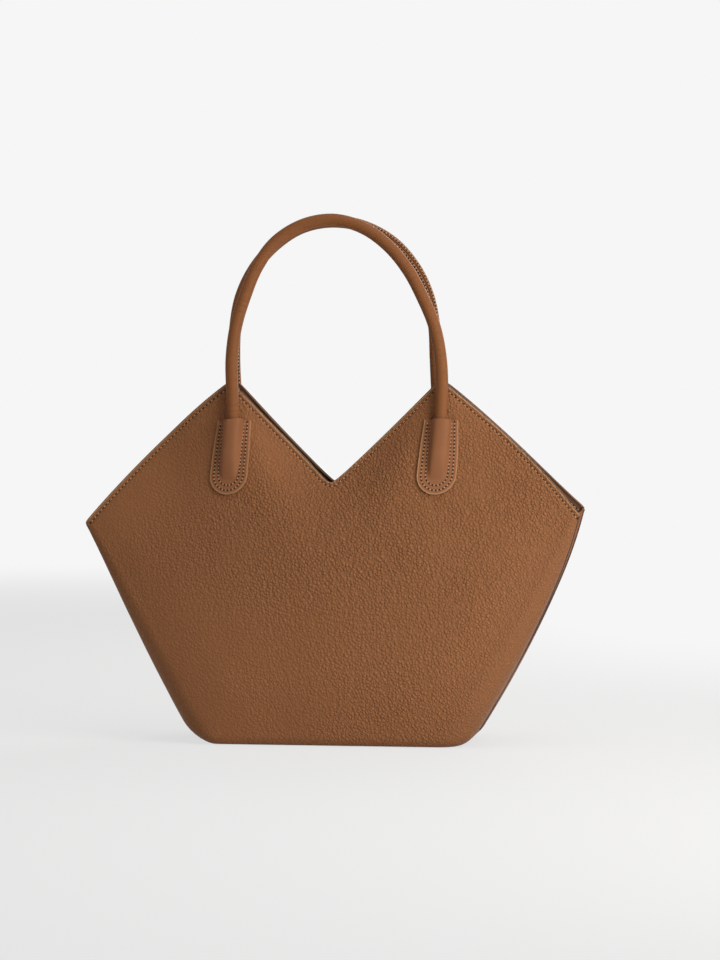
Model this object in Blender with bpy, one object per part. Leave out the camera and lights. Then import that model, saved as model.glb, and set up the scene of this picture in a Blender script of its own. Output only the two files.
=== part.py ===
"""Tote bag of grained leather with a two-peaked mouth and two rolled handles.

Metres, +Z up. The origin is the middle of the underside. The front faces -Y and +X is to the right
of someone who looks at the front. The back wall is the front wall as seen in a mirror.
"""

import math

import bmesh
import bpy
from mathutils import Matrix, Vector

# Outline of the body, seen from the front. The right half differs from the left one by each shift,
# which is added on the right and taken away on the left.
BASE_HALF_LENGTH = 0.1145
BASE_SHIFT = 0.0035
SHOULDER_HALF_WIDTH = 0.2135
SHOULDER_HEIGHT = 0.1865
SHOULDER_SHIFT = 0.0035
SIDE_BOW = 0.0040
SIDE_BOW_SHIFT = 0.0020
PEAK_HALF_SPAN = 0.0895
PEAK_SHIFT = 0.0035
PEAK_HEIGHT = 0.3035
NOTCH_HEIGHT = 0.2145
NOTCH_ROUNDING = 0.0035
TOP_EDGE_BOW = 0.0065
TOP_EDGE_BOW_SHIFT = -0.0012

# Depth of the body, from its middle plane to the outer face of a panel. The stations are shares of the
# way out to the corner, squared, and shares of the height of the crown over each of them.
BASE_HALF_DEPTH = 0.065
DEPTH_COLUMN_SHARES = (0.0, 0.19, 0.5, 1.0)
DEPTH_ROW_SHARES = (0.0, 0.17, 0.38, 0.55, 0.70, 0.85, 1.0, 1.08)
DEPTH_SHARES = (
    (1.0, 1.035, 0.95, 0.82, 0.66, 0.46, 0.26, 0.20),
    (1.0, 1.02, 0.89, 0.73, 0.54, 0.41, 0.335, 0.315),
    (1.0, 1.01, 0.86, 0.67, 0.47, 0.29, 0.175, 0.15),
    (1.0, 1.0, 0.88, 0.73, 0.55, 0.38, 0.26, 0.22),
)
CROWN_SHARES = (1.04, 0.955, 1.0, 1.0)

# Corner turns of the panels, by shares of the shoulder height
CORNER_RADIUS = 0.024
CORNER_ROW_SHARES = (0.0, 0.5, 0.8, 1.0)
CORNER_RADIUS_SHARES = (1.0, 0.85, 0.50, 0.18)

# Side strips: tapered from the shoulders down to a foot, folded inwards between the panels. Below the
# foot the two panels meet each other in a plain seam. The edges of the base are rounded.
GUSSET_HALF_WIDTH = 0.0125
GUSSET_ROW_SHARES = (0.0, 0.2, 0.6, 1.0)
GUSSET_WIDTH_SHARES = (0.06, 0.50, 0.72, 1.0)
GUSSET_FOLD = 0.008
GUSSET_FOLD_SHARES = (0.0, 0.35, 0.75, 1.0)
GUSSET_DIP = 0.004
BASE_EDGE_RADIUS = 0.008
BASE_END_RADIUS = 0.014
BASE_END_RADIUS_SHIFT = -0.005

# Layers of the wall, from the outside in
GAP = 0.0003
LEATHER = 0.0014
STIFFENER = 0.0008
LINING = 0.0008
FACING = 0.0010
BASE_BOARD = 0.0018
FACING_WIDTH = 0.032
STIFFENER_MARGIN = 0.004

# Handles: rolled leather round a cord, with a bending root at each end
HANDLE_RADIUS = 0.00525
HANDLE_WALL = 0.0013
HANDLE_HALF_SPAN = 0.090
HANDLE_RISE = 0.170
HANDLE_TOP_OFFSET = 0.007
HANDLE_LEAN_POWER = 1.7
FRONT_ROUTE_SHARES = (
    (-0.910, 0.0),
    (-0.922, 0.155),
    (-0.930, 0.310),
    (-0.898, 0.465),
    (-0.820, 0.616),
    (-0.714, 0.762),
    (-0.546, 0.890),
    (-0.292, 0.975),
    (0.0, 1.0),
    (0.287, 0.957),
    (0.530, 0.864),
    (0.722, 0.742),
    (0.865, 0.604),
    (0.980, 0.461),
    (1.040, 0.310),
    (1.058, 0.155),
    (1.045, 0.0),
)
BACK_ROUTE_SHARES = (
    (-0.994, 0.0),
    (-1.012, 0.158),
    (-1.021, 0.317),
    (-1.005, 0.475),
    (-0.942, 0.630),
    (-0.804, 0.770),
    (-0.600, 0.886),
    (-0.341, 0.970),
    (-0.047, 1.0),
    (0.255, 0.975),
    (0.532, 0.896),
    (0.735, 0.775),
    (0.862, 0.632),
    (0.918, 0.475),
    (0.928, 0.317),
    (0.939, 0.158),
    (0.961, 0.0),
)
FOLD_RISE = 0.014
ROOT_REACH = 0.016
ROOT_END_DEPTH_SHARE = 0.62

# Tabs that hold the handle ends on the panels, each with a raised channel over the handle's root
TAB_TOP_HEIGHT = 0.270
TAB_LENGTH = 0.0625
TAB_TOP_WIDTH = 0.0275
TAB_WIDTH = 0.0325
TAB_LEAN = 0.0046
TAB_GAP = 0.0006
TAB_LEATHER = 0.0016
CHANNEL_CLEARANCE = 0.0010
CHANNEL_LENGTH_SHARE = 0.80
CHANNEL_WIDTH_SHARE = 0.5
CHANNEL_ROUNDNESS = 0.75

# Counts of facets
PEAK_COLUMNS = 3
SLOPE_COLUMNS = 5
CORNER_COLUMNS = 4
SIDE_COLUMNS = 1
EDGE_ROWS = 3
WALL_ROWS = 7
WALL_ROW_POWER = 0.8
GUSSET_COLUMNS = 6
GUSSET_FOOT_ROW_COUNT = 2
HANDLE_STATIONS = 30
TUBE_SIDES = 12
ROOT_STATIONS = 7
TAB_COLUMNS = 10
TAB_ROWS = 8

# How the faces are measured out: where a panel starts to turn to its seam, and the steps of the sums
CORNER_SHARE = 0.80
SIDE_SHARE = 0.92
LEG_SHARE = 0.36
SHARP_DEGREES = 35
DIFFERENCE = 0.001
SEARCH_STEPS = 26

# Finishes: colour and roughness
LEATHER_FINISH = ((0.235, 0.098, 0.045), 0.55)
HANDLE_FINISH = ((0.250, 0.105, 0.050), 0.50)
LINING_FINISH = ((0.060, 0.035, 0.022), 0.85)
FACING_FINISH = ((0.300, 0.150, 0.075), 0.60)
BOARD_FINISH = ((0.300, 0.270, 0.230), 0.90)
CORD_FINISH = ((0.450, 0.420, 0.370), 0.90)


def smooth(stations, values, place):
    """The height at a place of a smooth curve through the values at the stations."""
    last = len(stations) - 1

    def slope(k):
        low = max(k - 1, 0)
        high = min(k + 1, last)
        return (values[high] - values[low]) / (stations[high] - stations[low])

    k = 0
    while k < last - 1 and place > stations[k + 1]:
        k += 1
    span = stations[k + 1] - stations[k]
    t = min(max((place - stations[k]) / span, 0.0), 1.0)
    return (
        values[k] * (1 + 2 * t) * (1 - t) ** 2
        + values[k + 1] * t * t * (3 - 2 * t)
        + slope(k) * span * t * (1 - t) ** 2
        - slope(k + 1) * span * t * t * (1 - t)
    )


def on_side(side, value, shift):
    """A size of the outline on the left or the right half of the bag."""
    return value + shift if side > 0 else value - shift


def side_half_width(side, t):
    """Distance of a side of the body from the middle, at a share of the shoulder height."""
    base = on_side(side, BASE_HALF_LENGTH, BASE_SHIFT)
    bow = on_side(side, SIDE_BOW, SIDE_BOW_SHIFT)
    return base + (SHOULDER_HALF_WIDTH - base) * t + bow * 4 * t * (1 - t)


def shoulder_height(side):
    """Height of a shoulder."""
    return on_side(side, SHOULDER_HEIGHT, SHOULDER_SHIFT)


def end_radius(side):
    """Radius of the base edge at an end of the base."""
    return on_side(side, BASE_END_RADIUS, BASE_END_RADIUS_SHIFT)


def half_depth(out, up):
    """Distance of a panel's face from the middle plane, at shares of the way out and of the crown."""
    columns = [smooth(DEPTH_ROW_SHARES, shares, up) for shares in DEPTH_SHARES]
    return BASE_HALF_DEPTH * smooth(DEPTH_COLUMN_SHARES, columns, out * out)


def corner_radius(t):
    """Radius of the turn from a panel's face to the side of the bag."""
    return CORNER_RADIUS * smooth(CORNER_ROW_SHARES, CORNER_RADIUS_SHARES, t)


def top_height(x):
    """Height of the mouth's edge over a place in the width."""
    out, peak = abs(x), on_side(x, PEAK_HALF_SPAN, PEAK_SHIFT)
    if out <= peak:
        rise = (PEAK_HEIGHT - NOTCH_HEIGHT) / math.hypot(peak, NOTCH_ROUNDING)
        return NOTCH_HEIGHT + rise * math.hypot(out, NOTCH_ROUNDING)
    run = (out - peak) / (SHOULDER_HALF_WIDTH - peak)
    bow = on_side(x, TOP_EDGE_BOW, TOP_EDGE_BOW_SHIFT)
    return PEAK_HEIGHT + (shoulder_height(x) - PEAK_HEIGHT) * run + bow * 4 * run * (1 - run)


def flat_half_width(side, t):
    """Width of a panel's face from its middle to one of its corner turns."""
    return side_half_width(side, t) - corner_radius(t)


def crown_height(out):
    """A smooth stand-in for the height of the mouth's edge, which the depth follows."""
    reach = SHOULDER_HALF_WIDTH - corner_radius(1.0)
    heights = []
    for place, share in zip(DEPTH_COLUMN_SHARES, CROWN_SHARES):
        x = math.sqrt(place) * reach
        heights.append(share * (top_height(x) + top_height(-x)) / 2)
    return smooth(DEPTH_COLUMN_SHARES, heights, out * out)


def level(radius, top, below_top):
    """The h of a wall row that lies a given distance under the top edge."""
    return (top - below_top - radius) / (top - radius)


def wall_level(radius, top, row):
    """The h of one of the wall's evenly graded rows, which run from its foot up to the facing."""
    return level(radius, top, FACING_WIDTH) * (row / WALL_ROWS) ** WALL_ROW_POWER


def edge_turn(h, radius, top):
    """Height and inward distance at h, which runs from -1 under the base to 1 at the top edge."""
    if h < 0:
        angle = (1 + h) * math.pi / 2
        return radius * (1 - math.cos(angle)), radius * (1 - math.sin(angle))
    return radius + (top - radius) * h, 0.0


def column_places(s):
    """Shares of the way across the face, round the corner turn and along the side, at a column."""
    out = min(abs(s) / CORNER_SHARE, 1.0)
    turn = min(max(abs(s) - CORNER_SHARE, 0.0) / (SIDE_SHARE - CORNER_SHARE), 1.0)
    along = max(abs(s) - SIDE_SHARE, 0.0) / (1 - SIDE_SHARE)
    return out, turn, along


def panel_top(s):
    """Height of the top edge at s, which runs from seam to seam."""
    out, turn, _ = column_places(s)
    x = out * flat_half_width(s, 1.0) + corner_radius(1.0) * math.sin(turn * math.pi / 2)
    return top_height(math.copysign(x, s))


def panel_radius(s):
    """Radius of the base edge at s: small along the front and larger at the ends."""
    turn = column_places(s)[1]
    return BASE_EDGE_RADIUS + (end_radius(s) - BASE_EDGE_RADIUS) * turn * turn * (3 - 2 * turn)


def strip_foot(side):
    """Height of the foot of a side strip, which lies on one of the wall's rows."""
    radius, top = end_radius(side), shoulder_height(side)
    return edge_turn(wall_level(radius, top, GUSSET_FOOT_ROW_COUNT), radius, top)[0]


def seam_half_depth(side, t):
    """Half the width of the side strip, where its seams with the panels are."""
    foot = strip_foot(side) / shoulder_height(side)
    up = (t - foot) / (1 - foot)
    if up < -DIFFERENCE:
        return 0.0
    return GUSSET_HALF_WIDTH * smooth(GUSSET_ROW_SHARES, GUSSET_WIDTH_SHARES, up)


def panel_point(s, h, inset=0.0):
    """A point of the front panel's outer face."""
    out, turn, along = column_places(s)
    top = panel_top(s)
    z, turned_in = edge_turn(h, panel_radius(s), top)
    t = z / top
    angle = turn * math.pi / 2
    bend = corner_radius(t)
    side_start = half_depth(out, z / crown_height(out)) - bend
    x = out * flat_half_width(s, t) + (bend - inset - turned_in) * math.sin(angle)
    y = side_start + (bend - inset - turned_in) * math.cos(angle)
    y += (seam_half_depth(s, t) + GAP / 2 - side_start) * along
    return Vector((math.copysign(x, s), -y, z))


def gusset_point(side, across, h):
    """A point of a side strip's outer face; across runs from seam to seam, from the front at the right."""
    foot, shoulder = strip_foot(side), shoulder_height(side)
    up = (h + 1) / 2
    z = foot + (shoulder - GUSSET_DIP * (1 - across * across) - foot) * up
    fold = GUSSET_FOLD * smooth(GUSSET_ROW_SHARES, GUSSET_FOLD_SHARES, up)
    fold = fold * math.sin((1 - abs(across)) * math.pi / 2) ** 2
    half_width = seam_half_depth(side, (foot + (shoulder - foot) * up) / shoulder) - GAP / 2
    x = side_half_width(side, z / shoulder) - fold
    return Vector((x * side, across * side * half_width, z))


def face_normal(point, a, b):
    """Outward normal of a face that is given by its point function."""
    low_a, high_a = max(a - DIFFERENCE, -1.0), min(a + DIFFERENCE, 1.0)
    low_b, high_b = max(b - DIFFERENCE, -1.0), min(b + DIFFERENCE, 1.0)
    along = point(high_a, b) - point(low_a, b)
    up = point(a, high_b) - point(a, low_b)
    return along.cross(up).normalized()


def panel_columns():
    """The places of the panel's columns, with one at the notch, the peaks and the corner turns."""

    def spread(start, end, count):
        return [start + (end - start) * k / count for k in range(count)]

    columns = []
    for side in (-1, 1):
        peak = CORNER_SHARE * on_side(side, PEAK_HALF_SPAN, PEAK_SHIFT) / flat_half_width(side, 1.0)
        half = spread(0.0, peak, PEAK_COLUMNS) + spread(peak, CORNER_SHARE, SLOPE_COLUMNS)
        half += spread(CORNER_SHARE, SIDE_SHARE, CORNER_COLUMNS)
        half += spread(SIDE_SHARE, 1.0, SIDE_COLUMNS) + [1.0]
        columns += [side * s for s in half]
    return sorted(set(columns))


def wall_levels(radius, top, turned_in, below_top):
    """The rows of a layer at one column, from the underside or the wall's foot to its upper edge."""
    edge = [k / EDGE_ROWS - 1 for k in range(EDGE_ROWS)] if turned_in else []
    wall = [wall_level(radius, top, row) for row in range(WALL_ROWS)]
    bands = [distance for distance in (FACING_WIDTH, STIFFENER_MARGIN, 0.0) if distance >= below_top]
    return edge + wall + [level(radius, top, distance) for distance in bands]


def add_object(name, mesh, finish):
    """An object with a material of its own, from a finished bmesh."""
    bmesh.ops.recalc_face_normals(mesh, faces=mesh.faces)
    data = bpy.data.meshes.new(name)
    mesh.to_mesh(data)
    mesh.free()
    data.shade_smooth()
    data.set_sharp_from_angle(angle=math.radians(SHARP_DEGREES))
    colour, roughness = finish
    material = bpy.data.materials.new(name)
    material.use_nodes = True
    shader = material.node_tree.nodes["Principled BSDF"]
    shader.inputs["Base Color"].default_value = (*colour, 1.0)
    shader.inputs["Roughness"].default_value = roughness
    shader.inputs["Metallic"].default_value = 0.0
    material.diffuse_color = (*colour, 1.0)
    data.materials.append(material)
    thing = bpy.data.objects.new(name, data)
    bpy.context.collection.objects.link(thing)
    return thing


def stand(at_back, thing):
    """Leaves an object in the front wall, or moves it to the mirrored place in the back one."""
    if at_back:
        thing.data.transform(Matrix.Scale(-1.0, 4, Vector((0.0, 1.0, 0.0))))
        thing.data.flip_normals()
    return thing


def add_sheet(name, place, columns, rows, depth, thickness, finish):
    """A layer: a grid at a depth under a face, extruded inwards along the face's normals."""
    mesh = bmesh.new()
    bmesh.ops.create_grid(mesh, x_segments=columns, y_segments=rows, size=1.0)
    bmesh.ops.triangulate(mesh, faces=mesh.faces, quad_method="FIXED")
    made = bmesh.ops.extrude_face_region(mesh, geom=mesh.faces[:], use_keep_orig=True)
    inner = {part for part in made["geom"] if isinstance(part, bmesh.types.BMVert)}
    for vert in mesh.verts:
        column = round((vert.co.x + 1) / 2 * columns)
        row = round((vert.co.y + 1) / 2 * rows)
        point, normal = place(column, row)
        vert.co = point - normal * (depth + thickness if vert in inner else depth)
    return add_object(name, mesh, finish)


def add_loft(name, rings, closed, finish):
    """A solid through rings of points, capped at both ends or closed on itself."""
    mesh = bmesh.new()
    loops = [[mesh.verts.new(point) for point in ring] for ring in rings]
    pairs = list(zip(loops, loops[1:]))
    if closed:
        pairs.append((loops[-1], loops[0]))
    for low, high in pairs:
        for k in range(len(low)):
            after = (k + 1) % len(low)
            mesh.faces.new((low[k], low[after], high[after], high[k]))
    if not closed:
        mesh.faces.new(reversed(loops[0]))
        mesh.faces.new(loops[-1])
    return add_object(name, mesh, finish)


def add_panel_layer(name, turned_in, below_top, depth, thickness, finish):
    """A layer of the front wall that follows the panel's face from seam to seam."""
    columns = panel_columns()
    levels = [wall_levels(panel_radius(s), panel_top(s), turned_in, below_top) for s in columns]

    def place(column, row):
        s, h = columns[column], levels[column][row]
        return panel_point(s, h), face_normal(panel_point, s, h)

    return add_sheet(name, place, len(columns) - 1, len(levels[0]) - 1, depth, thickness, finish)


def add_facing(name, depth, finish):
    """The band inside the mouth, from the lining up to the top edge."""
    columns = panel_columns()
    below_top = (FACING_WIDTH - GAP, STIFFENER_MARGIN, 0.0)

    def place(column, row):
        s = columns[column]
        h = level(panel_radius(s), panel_top(s), below_top[row])
        return panel_point(s, h), face_normal(panel_point, s, h)

    return add_sheet(name, place, len(columns) - 1, len(below_top) - 1, depth, FACING, finish)


def add_gusset_layer(name, side, depth, thickness, finish):
    """A layer of a side strip, with the rows of the panels beside it."""
    radius, top = end_radius(side), shoulder_height(side)
    foot = strip_foot(side)
    levels = wall_levels(radius, top, False, 0.0)[GUSSET_FOOT_ROW_COUNT:]
    heights = [edge_turn(h, radius, top)[0] for h in levels]
    rows = [2 * (z - foot) / (top - foot) - 1 for z in heights]

    def point(across, h):
        return gusset_point(side, across, h)

    def place(column, row):
        across = 2 * column / GUSSET_COLUMNS - 1
        return point(across, rows[row]), face_normal(point, across, rows[row])

    return add_sheet(name, place, GUSSET_COLUMNS, len(rows) - 1, depth, thickness, finish)


def base_outline():
    """The rim of the flat underside, once round, inside the turned-in edges of the two panels."""
    front = [panel_point(s, -1.0, GAP) for s in panel_columns()]
    return front + [Vector((point.x, -point.y, point.z)) for point in reversed(front)]


def add_base_slab(name, bottom, thickness, finish):
    """A flat layer of the base."""
    outline = base_outline()
    rings = [[Vector((point.x, point.y, z)) for point in outline] for z in (bottom, bottom + thickness)]
    return add_loft(name, rings, False, finish)


def face_depth(x, z):
    """Distance of the front panel's outer face from the middle plane, over a place in the front view."""
    low, high = 0.0, 1.0
    for _ in range(SEARCH_STEPS):
        middle = (low + high) / 2
        s = math.copysign(middle * CORNER_SHARE, x)
        if middle * flat_half_width(x, z / panel_top(s)) < abs(x):
            low = middle
        else:
            high = middle
    return half_depth(low, z / crown_height(low))


def face_at(x, z):
    """The front panel's outer face over a place in the front view, and its outward normal."""
    step = DIFFERENCE * PEAK_HEIGHT
    slope_x = (face_depth(x + step, z) - face_depth(x - step, z)) / (2 * step)
    slope_z = (face_depth(x, z + step) - face_depth(x, z - step)) / (2 * step)
    return Vector((x, -face_depth(x, z), z)), Vector((-slope_x, -1.0, -slope_z)).normalized()


def tab_middle(route, side, z):
    """Middle of a tab at a height: both of a handle's tabs lean a little to the left, going down."""
    top = HANDLE_HALF_SPAN * route[0 if side < 0 else -1][0]
    return top - TAB_LEAN * (TAB_TOP_HEIGHT - z) / TAB_LENGTH


def handle_foot(route, side):
    """Where a handle's centre line passes the top of one of its tabs."""
    face, normal = face_at(tab_middle(route, side, TAB_TOP_HEIGHT), TAB_TOP_HEIGHT)
    return face + normal * (TAB_GAP + HANDLE_RADIUS)


ROUTES = (FRONT_ROUTE_SHARES, BACK_ROUTE_SHARES)
FEET = {route: (handle_foot(route, -1), handle_foot(route, 1)) for route in ROUTES}


def handle_centre(route, k):
    """A point of a handle's centre line, at a place along the list of its route."""
    stations = range(len(route))
    foot = FEET[route][0].lerp(FEET[route][1], k / stations[-1])
    across = smooth(stations, [point[0] for point in route], k)
    rise = smooth(stations, [point[1] for point in route], k)
    lean = 1 - max(rise, 0.0) ** HANDLE_LEAN_POWER
    y = -HANDLE_TOP_OFFSET + (foot.y + HANDLE_TOP_OFFSET) * lean
    return Vector((HANDLE_HALF_SPAN * across, y, foot.z + HANDLE_RISE * rise))


def handle_direction(route, k):
    """Direction of the centre line at a place along its route."""
    return (handle_centre(route, k + DIFFERENCE) - handle_centre(route, k - DIFFERENCE)).normalized()


def leg_place(route, side, z):
    """The place along the route where one leg of the handle reaches a height."""
    last = len(route) - 1
    low, high = (0.0, last * LEG_SHARE) if side < 0 else (last, last * (1 - LEG_SHARE))
    for _ in range(SEARCH_STEPS):
        middle = (low + high) / 2
        if handle_centre(route, middle).z < z:
            low = middle
        else:
            high = middle
    return low


def tube_ring(centre, direction, across, deep):
    """Points round a tube's centre, with their own half width and half depth."""
    outward = Vector((0.0, -1.0, 0.0))
    outward = (outward - direction * outward.dot(direction)).normalized()
    sideways = direction.cross(outward)
    angles = [2 * math.pi * k / TUBE_SIDES for k in range(TUBE_SIDES)]
    return [centre + sideways * (across * math.cos(a)) + outward * (deep * math.sin(a)) for a in angles]


def swing_rings(route, radius):
    """Rings along the part of a handle that swings as one piece."""
    start = TAB_TOP_HEIGHT + FOLD_RISE + ROOT_REACH
    first, last = leg_place(route, -1, start), leg_place(route, 1, start)
    places = [first + (last - first) * n / HANDLE_STATIONS for n in range(HANDLE_STATIONS + 1)]
    return [tube_ring(handle_centre(route, k), handle_direction(route, k), radius, radius) for k in places]


def add_root(name, route, side, finish):
    """The bending end of a handle, flattened where it lies inside its tab."""
    top = TAB_TOP_HEIGHT + FOLD_RISE + ROOT_REACH - GAP
    bottom = TAB_TOP_HEIGHT - TAB_LENGTH * CHANNEL_LENGTH_SHARE / 2
    rings = []
    for n in range(ROOT_STATIONS + 1):
        z = bottom + (top - bottom) * n / ROOT_STATIONS
        if z > TAB_TOP_HEIGHT:
            k = leg_place(route, side, z)
            upward = -side * handle_direction(route, k)
            rings.append(tube_ring(handle_centre(route, k), upward, HANDLE_RADIUS, HANDLE_RADIUS))
            continue
        inside = (TAB_TOP_HEIGHT - z) / (TAB_TOP_HEIGHT - bottom)
        deep = HANDLE_RADIUS * (1 - (1 - ROOT_END_DEPTH_SHARE) * inside)
        face, normal = face_at(tab_middle(route, side, z), z)
        upward = normal.cross(Vector((1.0, 0.0, 0.0))).normalized()
        rings.append(tube_ring(face + normal * (TAB_GAP + deep), upward, HANDLE_RADIUS, deep))
    return add_loft(name, rings, False, finish)


def tab_offset(across, half_width):
    """Distance from a tab's middle line: first over the channel, then over the flange beside it."""
    channel = HANDLE_RADIUS + CHANNEL_CLEARANCE + TAB_LEATHER
    if across < CHANNEL_WIDTH_SHARE:
        return channel * math.sin(across / CHANNEL_WIDTH_SHARE * math.pi / 2) ** CHANNEL_ROUNDNESS
    beside = (across - CHANNEL_WIDTH_SHARE) / (1 - CHANNEL_WIDTH_SHARE)
    return channel + (half_width - channel) * beside


def channel_height(across, down):
    """How far the channel stands over the flanges, at shares across and down the tab."""
    along = down / CHANNEL_LENGTH_SHARE
    root = 2 * HANDLE_RADIUS * (1 - (1 - ROOT_END_DEPTH_SHARE) * min(2 * along, 1.0))
    fade = math.cos(min(max(2 * along - 1, 0.0), 1.0) * math.pi / 2)
    if across >= CHANNEL_WIDTH_SHARE:
        return 0.0
    arch = math.cos(across / CHANNEL_WIDTH_SHARE * math.pi / 2) ** CHANNEL_ROUNDNESS
    return (root + CHANNEL_CLEARANCE) * fade * arch


def tab_point(route, side, across, h):
    """A point of a tab's outer face: across from edge to edge, h from its round foot to its top."""
    down = (1 - h) / 2
    out = tab_offset(abs(across), TAB_WIDTH / 2) / (TAB_WIDTH / 2)
    straight = TAB_LENGTH - TAB_WIDTH / 2
    length = straight + TAB_WIDTH / 2 * math.sqrt(max(1 - out * out, 0.0))
    z = TAB_TOP_HEIGHT - length * down
    spread = math.sin(min((TAB_TOP_HEIGHT - z) / straight, 1.0) * math.pi / 2)
    half_width = (TAB_TOP_WIDTH + (TAB_WIDTH - TAB_TOP_WIDTH) * spread) / 2
    x = tab_middle(route, side, z) + math.copysign(tab_offset(abs(across), half_width), across)
    face, normal = face_at(x, z)
    return face + normal * (TAB_GAP + TAB_LEATHER + channel_height(abs(across), down))


def add_tab(name, route, side, finish):
    """A tab: a leather patch with a round foot, raised over the root of the handle."""

    def point(across, h):
        return tab_point(route, side, across, h)

    def place(column, row):
        across, h = 2 * column / TAB_COLUMNS - 1, 2 * row / TAB_ROWS - 1
        return point(across, h), face_normal(point, across, h)

    return add_sheet(name, place, TAB_COLUMNS, TAB_ROWS, 0.0, TAB_LEATHER, finish)


def hang(name, pivot, things):
    """An empty on a handle's fold line that carries the pieces that swing about it."""
    empty = bpy.data.objects.new(name, None)
    empty.location = pivot
    bpy.context.collection.objects.link(empty)
    for thing in things:
        thing.data.transform(Matrix.Translation(-pivot))
        thing.parent = empty


for old in list(bpy.data.objects):
    bpy.data.objects.remove(old, do_unlink=True)

stiffener_depth = LEATHER + GAP
lining_depth = stiffener_depth + STIFFENER + GAP

for wall in ("front", "back"):
    at_back = wall == "back"
    stand(at_back, add_panel_layer(f"{wall}_panel", True, 0.0, 0.0, LEATHER, LEATHER_FINISH))
    stiffener = add_panel_layer(
        f"{wall}_stiffener", False, STIFFENER_MARGIN, stiffener_depth, STIFFENER, BOARD_FINISH
    )
    stand(at_back, stiffener)
    lining = add_panel_layer(f"{wall}_lining", True, FACING_WIDTH, lining_depth, LINING, LINING_FINISH)
    stand(at_back, lining)
    stand(at_back, add_facing(f"{wall}_facing", lining_depth, FACING_FINISH))

for side, word in ((-1, "left"), (1, "right")):
    add_gusset_layer(f"{word}_gusset", side, 0.0, LEATHER, LEATHER_FINISH)
    add_gusset_layer(f"{word}_gusset_lining", side, LEATHER + GAP, LINING, LINING_FINISH)

board_bottom = LEATHER + GAP
base_lining_bottom = board_bottom + BASE_BOARD + GAP
add_base_slab("base_panel", 0.0, LEATHER, LEATHER_FINISH)
add_base_slab("base_board", board_bottom, BASE_BOARD, BOARD_FINISH)
add_base_slab("base_lining", base_lining_bottom, LINING, LINING_FINISH)

bore = HANDLE_RADIUS - HANDLE_WALL
fold_height = TAB_TOP_HEIGHT + FOLD_RISE
for wall, route in zip(("front", "back"), ROUTES):
    at_back = wall == "back"
    for side, word in ((-1, "left"), (1, "right")):
        stand(at_back, add_tab(f"{wall}_{word}_tab", route, side, LEATHER_FINISH))
        stand(at_back, add_root(f"{wall}_{word}_root", route, side, HANDLE_FINISH))
    cover_rings = swing_rings(route, HANDLE_RADIUS) + swing_rings(route, bore)[::-1]
    cover = stand(at_back, add_loft(f"{wall}_handle_cover", cover_rings, True, HANDLE_FINISH))
    core_rings = swing_rings(route, bore - GAP)
    core = stand(at_back, add_loft(f"{wall}_handle_core", core_rings, False, CORD_FINISH))
    fold_line = Vector((0.0, handle_centre(route, leg_place(route, 1, fold_height)).y, fold_height))
    if at_back:
        fold_line.y = -fold_line.y
    hang(f"{wall}_handle_fold", fold_line, (cover, core))
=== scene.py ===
"""Tote bag of pebbled brown leather with a two-peaked mouth, side strips and two rolled handles.

Metres, +Z up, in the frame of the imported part: the origin is the middle of the underside, the front
faces -Y and +X is to the right of someone who looks at the front.
"""

import math

import bpy
import numpy as np
from mathutils import Matrix, Vector


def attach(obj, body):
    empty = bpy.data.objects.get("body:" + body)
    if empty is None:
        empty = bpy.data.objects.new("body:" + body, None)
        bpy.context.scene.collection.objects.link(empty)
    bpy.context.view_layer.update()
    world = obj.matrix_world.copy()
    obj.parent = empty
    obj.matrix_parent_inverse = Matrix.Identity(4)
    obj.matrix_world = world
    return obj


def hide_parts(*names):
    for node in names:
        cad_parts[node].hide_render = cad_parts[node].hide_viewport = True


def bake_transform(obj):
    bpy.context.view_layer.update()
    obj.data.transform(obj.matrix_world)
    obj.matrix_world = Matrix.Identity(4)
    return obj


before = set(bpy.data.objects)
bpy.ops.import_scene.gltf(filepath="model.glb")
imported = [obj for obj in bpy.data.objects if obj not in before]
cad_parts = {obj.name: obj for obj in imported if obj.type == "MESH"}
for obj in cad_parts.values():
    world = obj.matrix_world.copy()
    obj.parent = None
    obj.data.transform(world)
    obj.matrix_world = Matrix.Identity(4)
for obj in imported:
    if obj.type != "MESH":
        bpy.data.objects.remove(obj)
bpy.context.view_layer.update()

# ----------------------------------------
# Front and back panels. Each is one piece of soft pebbled cowhide, 1.4 mm thick, cut with two peaks and
# a notch. It lies over a stiffener, turns round the corners of the bag and under its base, and its side
# edges are rolled in where they are sewn to the side strips and, lower down, to each other.

WALLS = ("front", "back")
BASE_HALF_LENGTH, BASE_SHIFT = 0.1145, 0.0035
SHOULDER_HALF_WIDTH, SHOULDER_HEIGHT, SHOULDER_SHIFT = 0.2135, 0.1865, 0.0035
SIDE_BOW, SIDE_BOW_SHIFT = 0.0040, 0.0020
PEAK_HALF_SPAN, PEAK_SHIFT, PEAK_HEIGHT = 0.0895, 0.0035, 0.3035
NOTCH_HEIGHT, NOTCH_ROUNDING = 0.2145, 0.0035
TOP_EDGE_BOW, TOP_EDGE_BOW_SHIFT = 0.0065, -0.0012
BASE_HALF_DEPTH = 0.065
DEPTH_COLUMN_SHARES = (0.0, 0.19, 0.5, 1.0)
DEPTH_ROW_SHARES = (0.0, 0.17, 0.38, 0.55, 0.70, 0.85, 1.0, 1.08)
DEPTH_SHARES = (
    (1.0, 1.035, 0.97, 0.88, 0.77, 0.57, 0.28, 0.20),
    (1.0, 1.02, 0.89, 0.73, 0.54, 0.41, 0.335, 0.315),
    (1.0, 1.01, 0.88, 0.71, 0.50, 0.30, 0.175, 0.15),
    (1.0, 1.0, 0.88, 0.73, 0.55, 0.38, 0.26, 0.22),
)
CROWN_SHARES = (1.04, 0.955, 1.0, 1.0)
CORNER_RADIUS = 0.024
CORNER_ROW_SHARES = (0.0, 0.5, 0.8, 1.0)
CORNER_RADIUS_SHARES = (1.0, 0.85, 0.50, 0.18)
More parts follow.
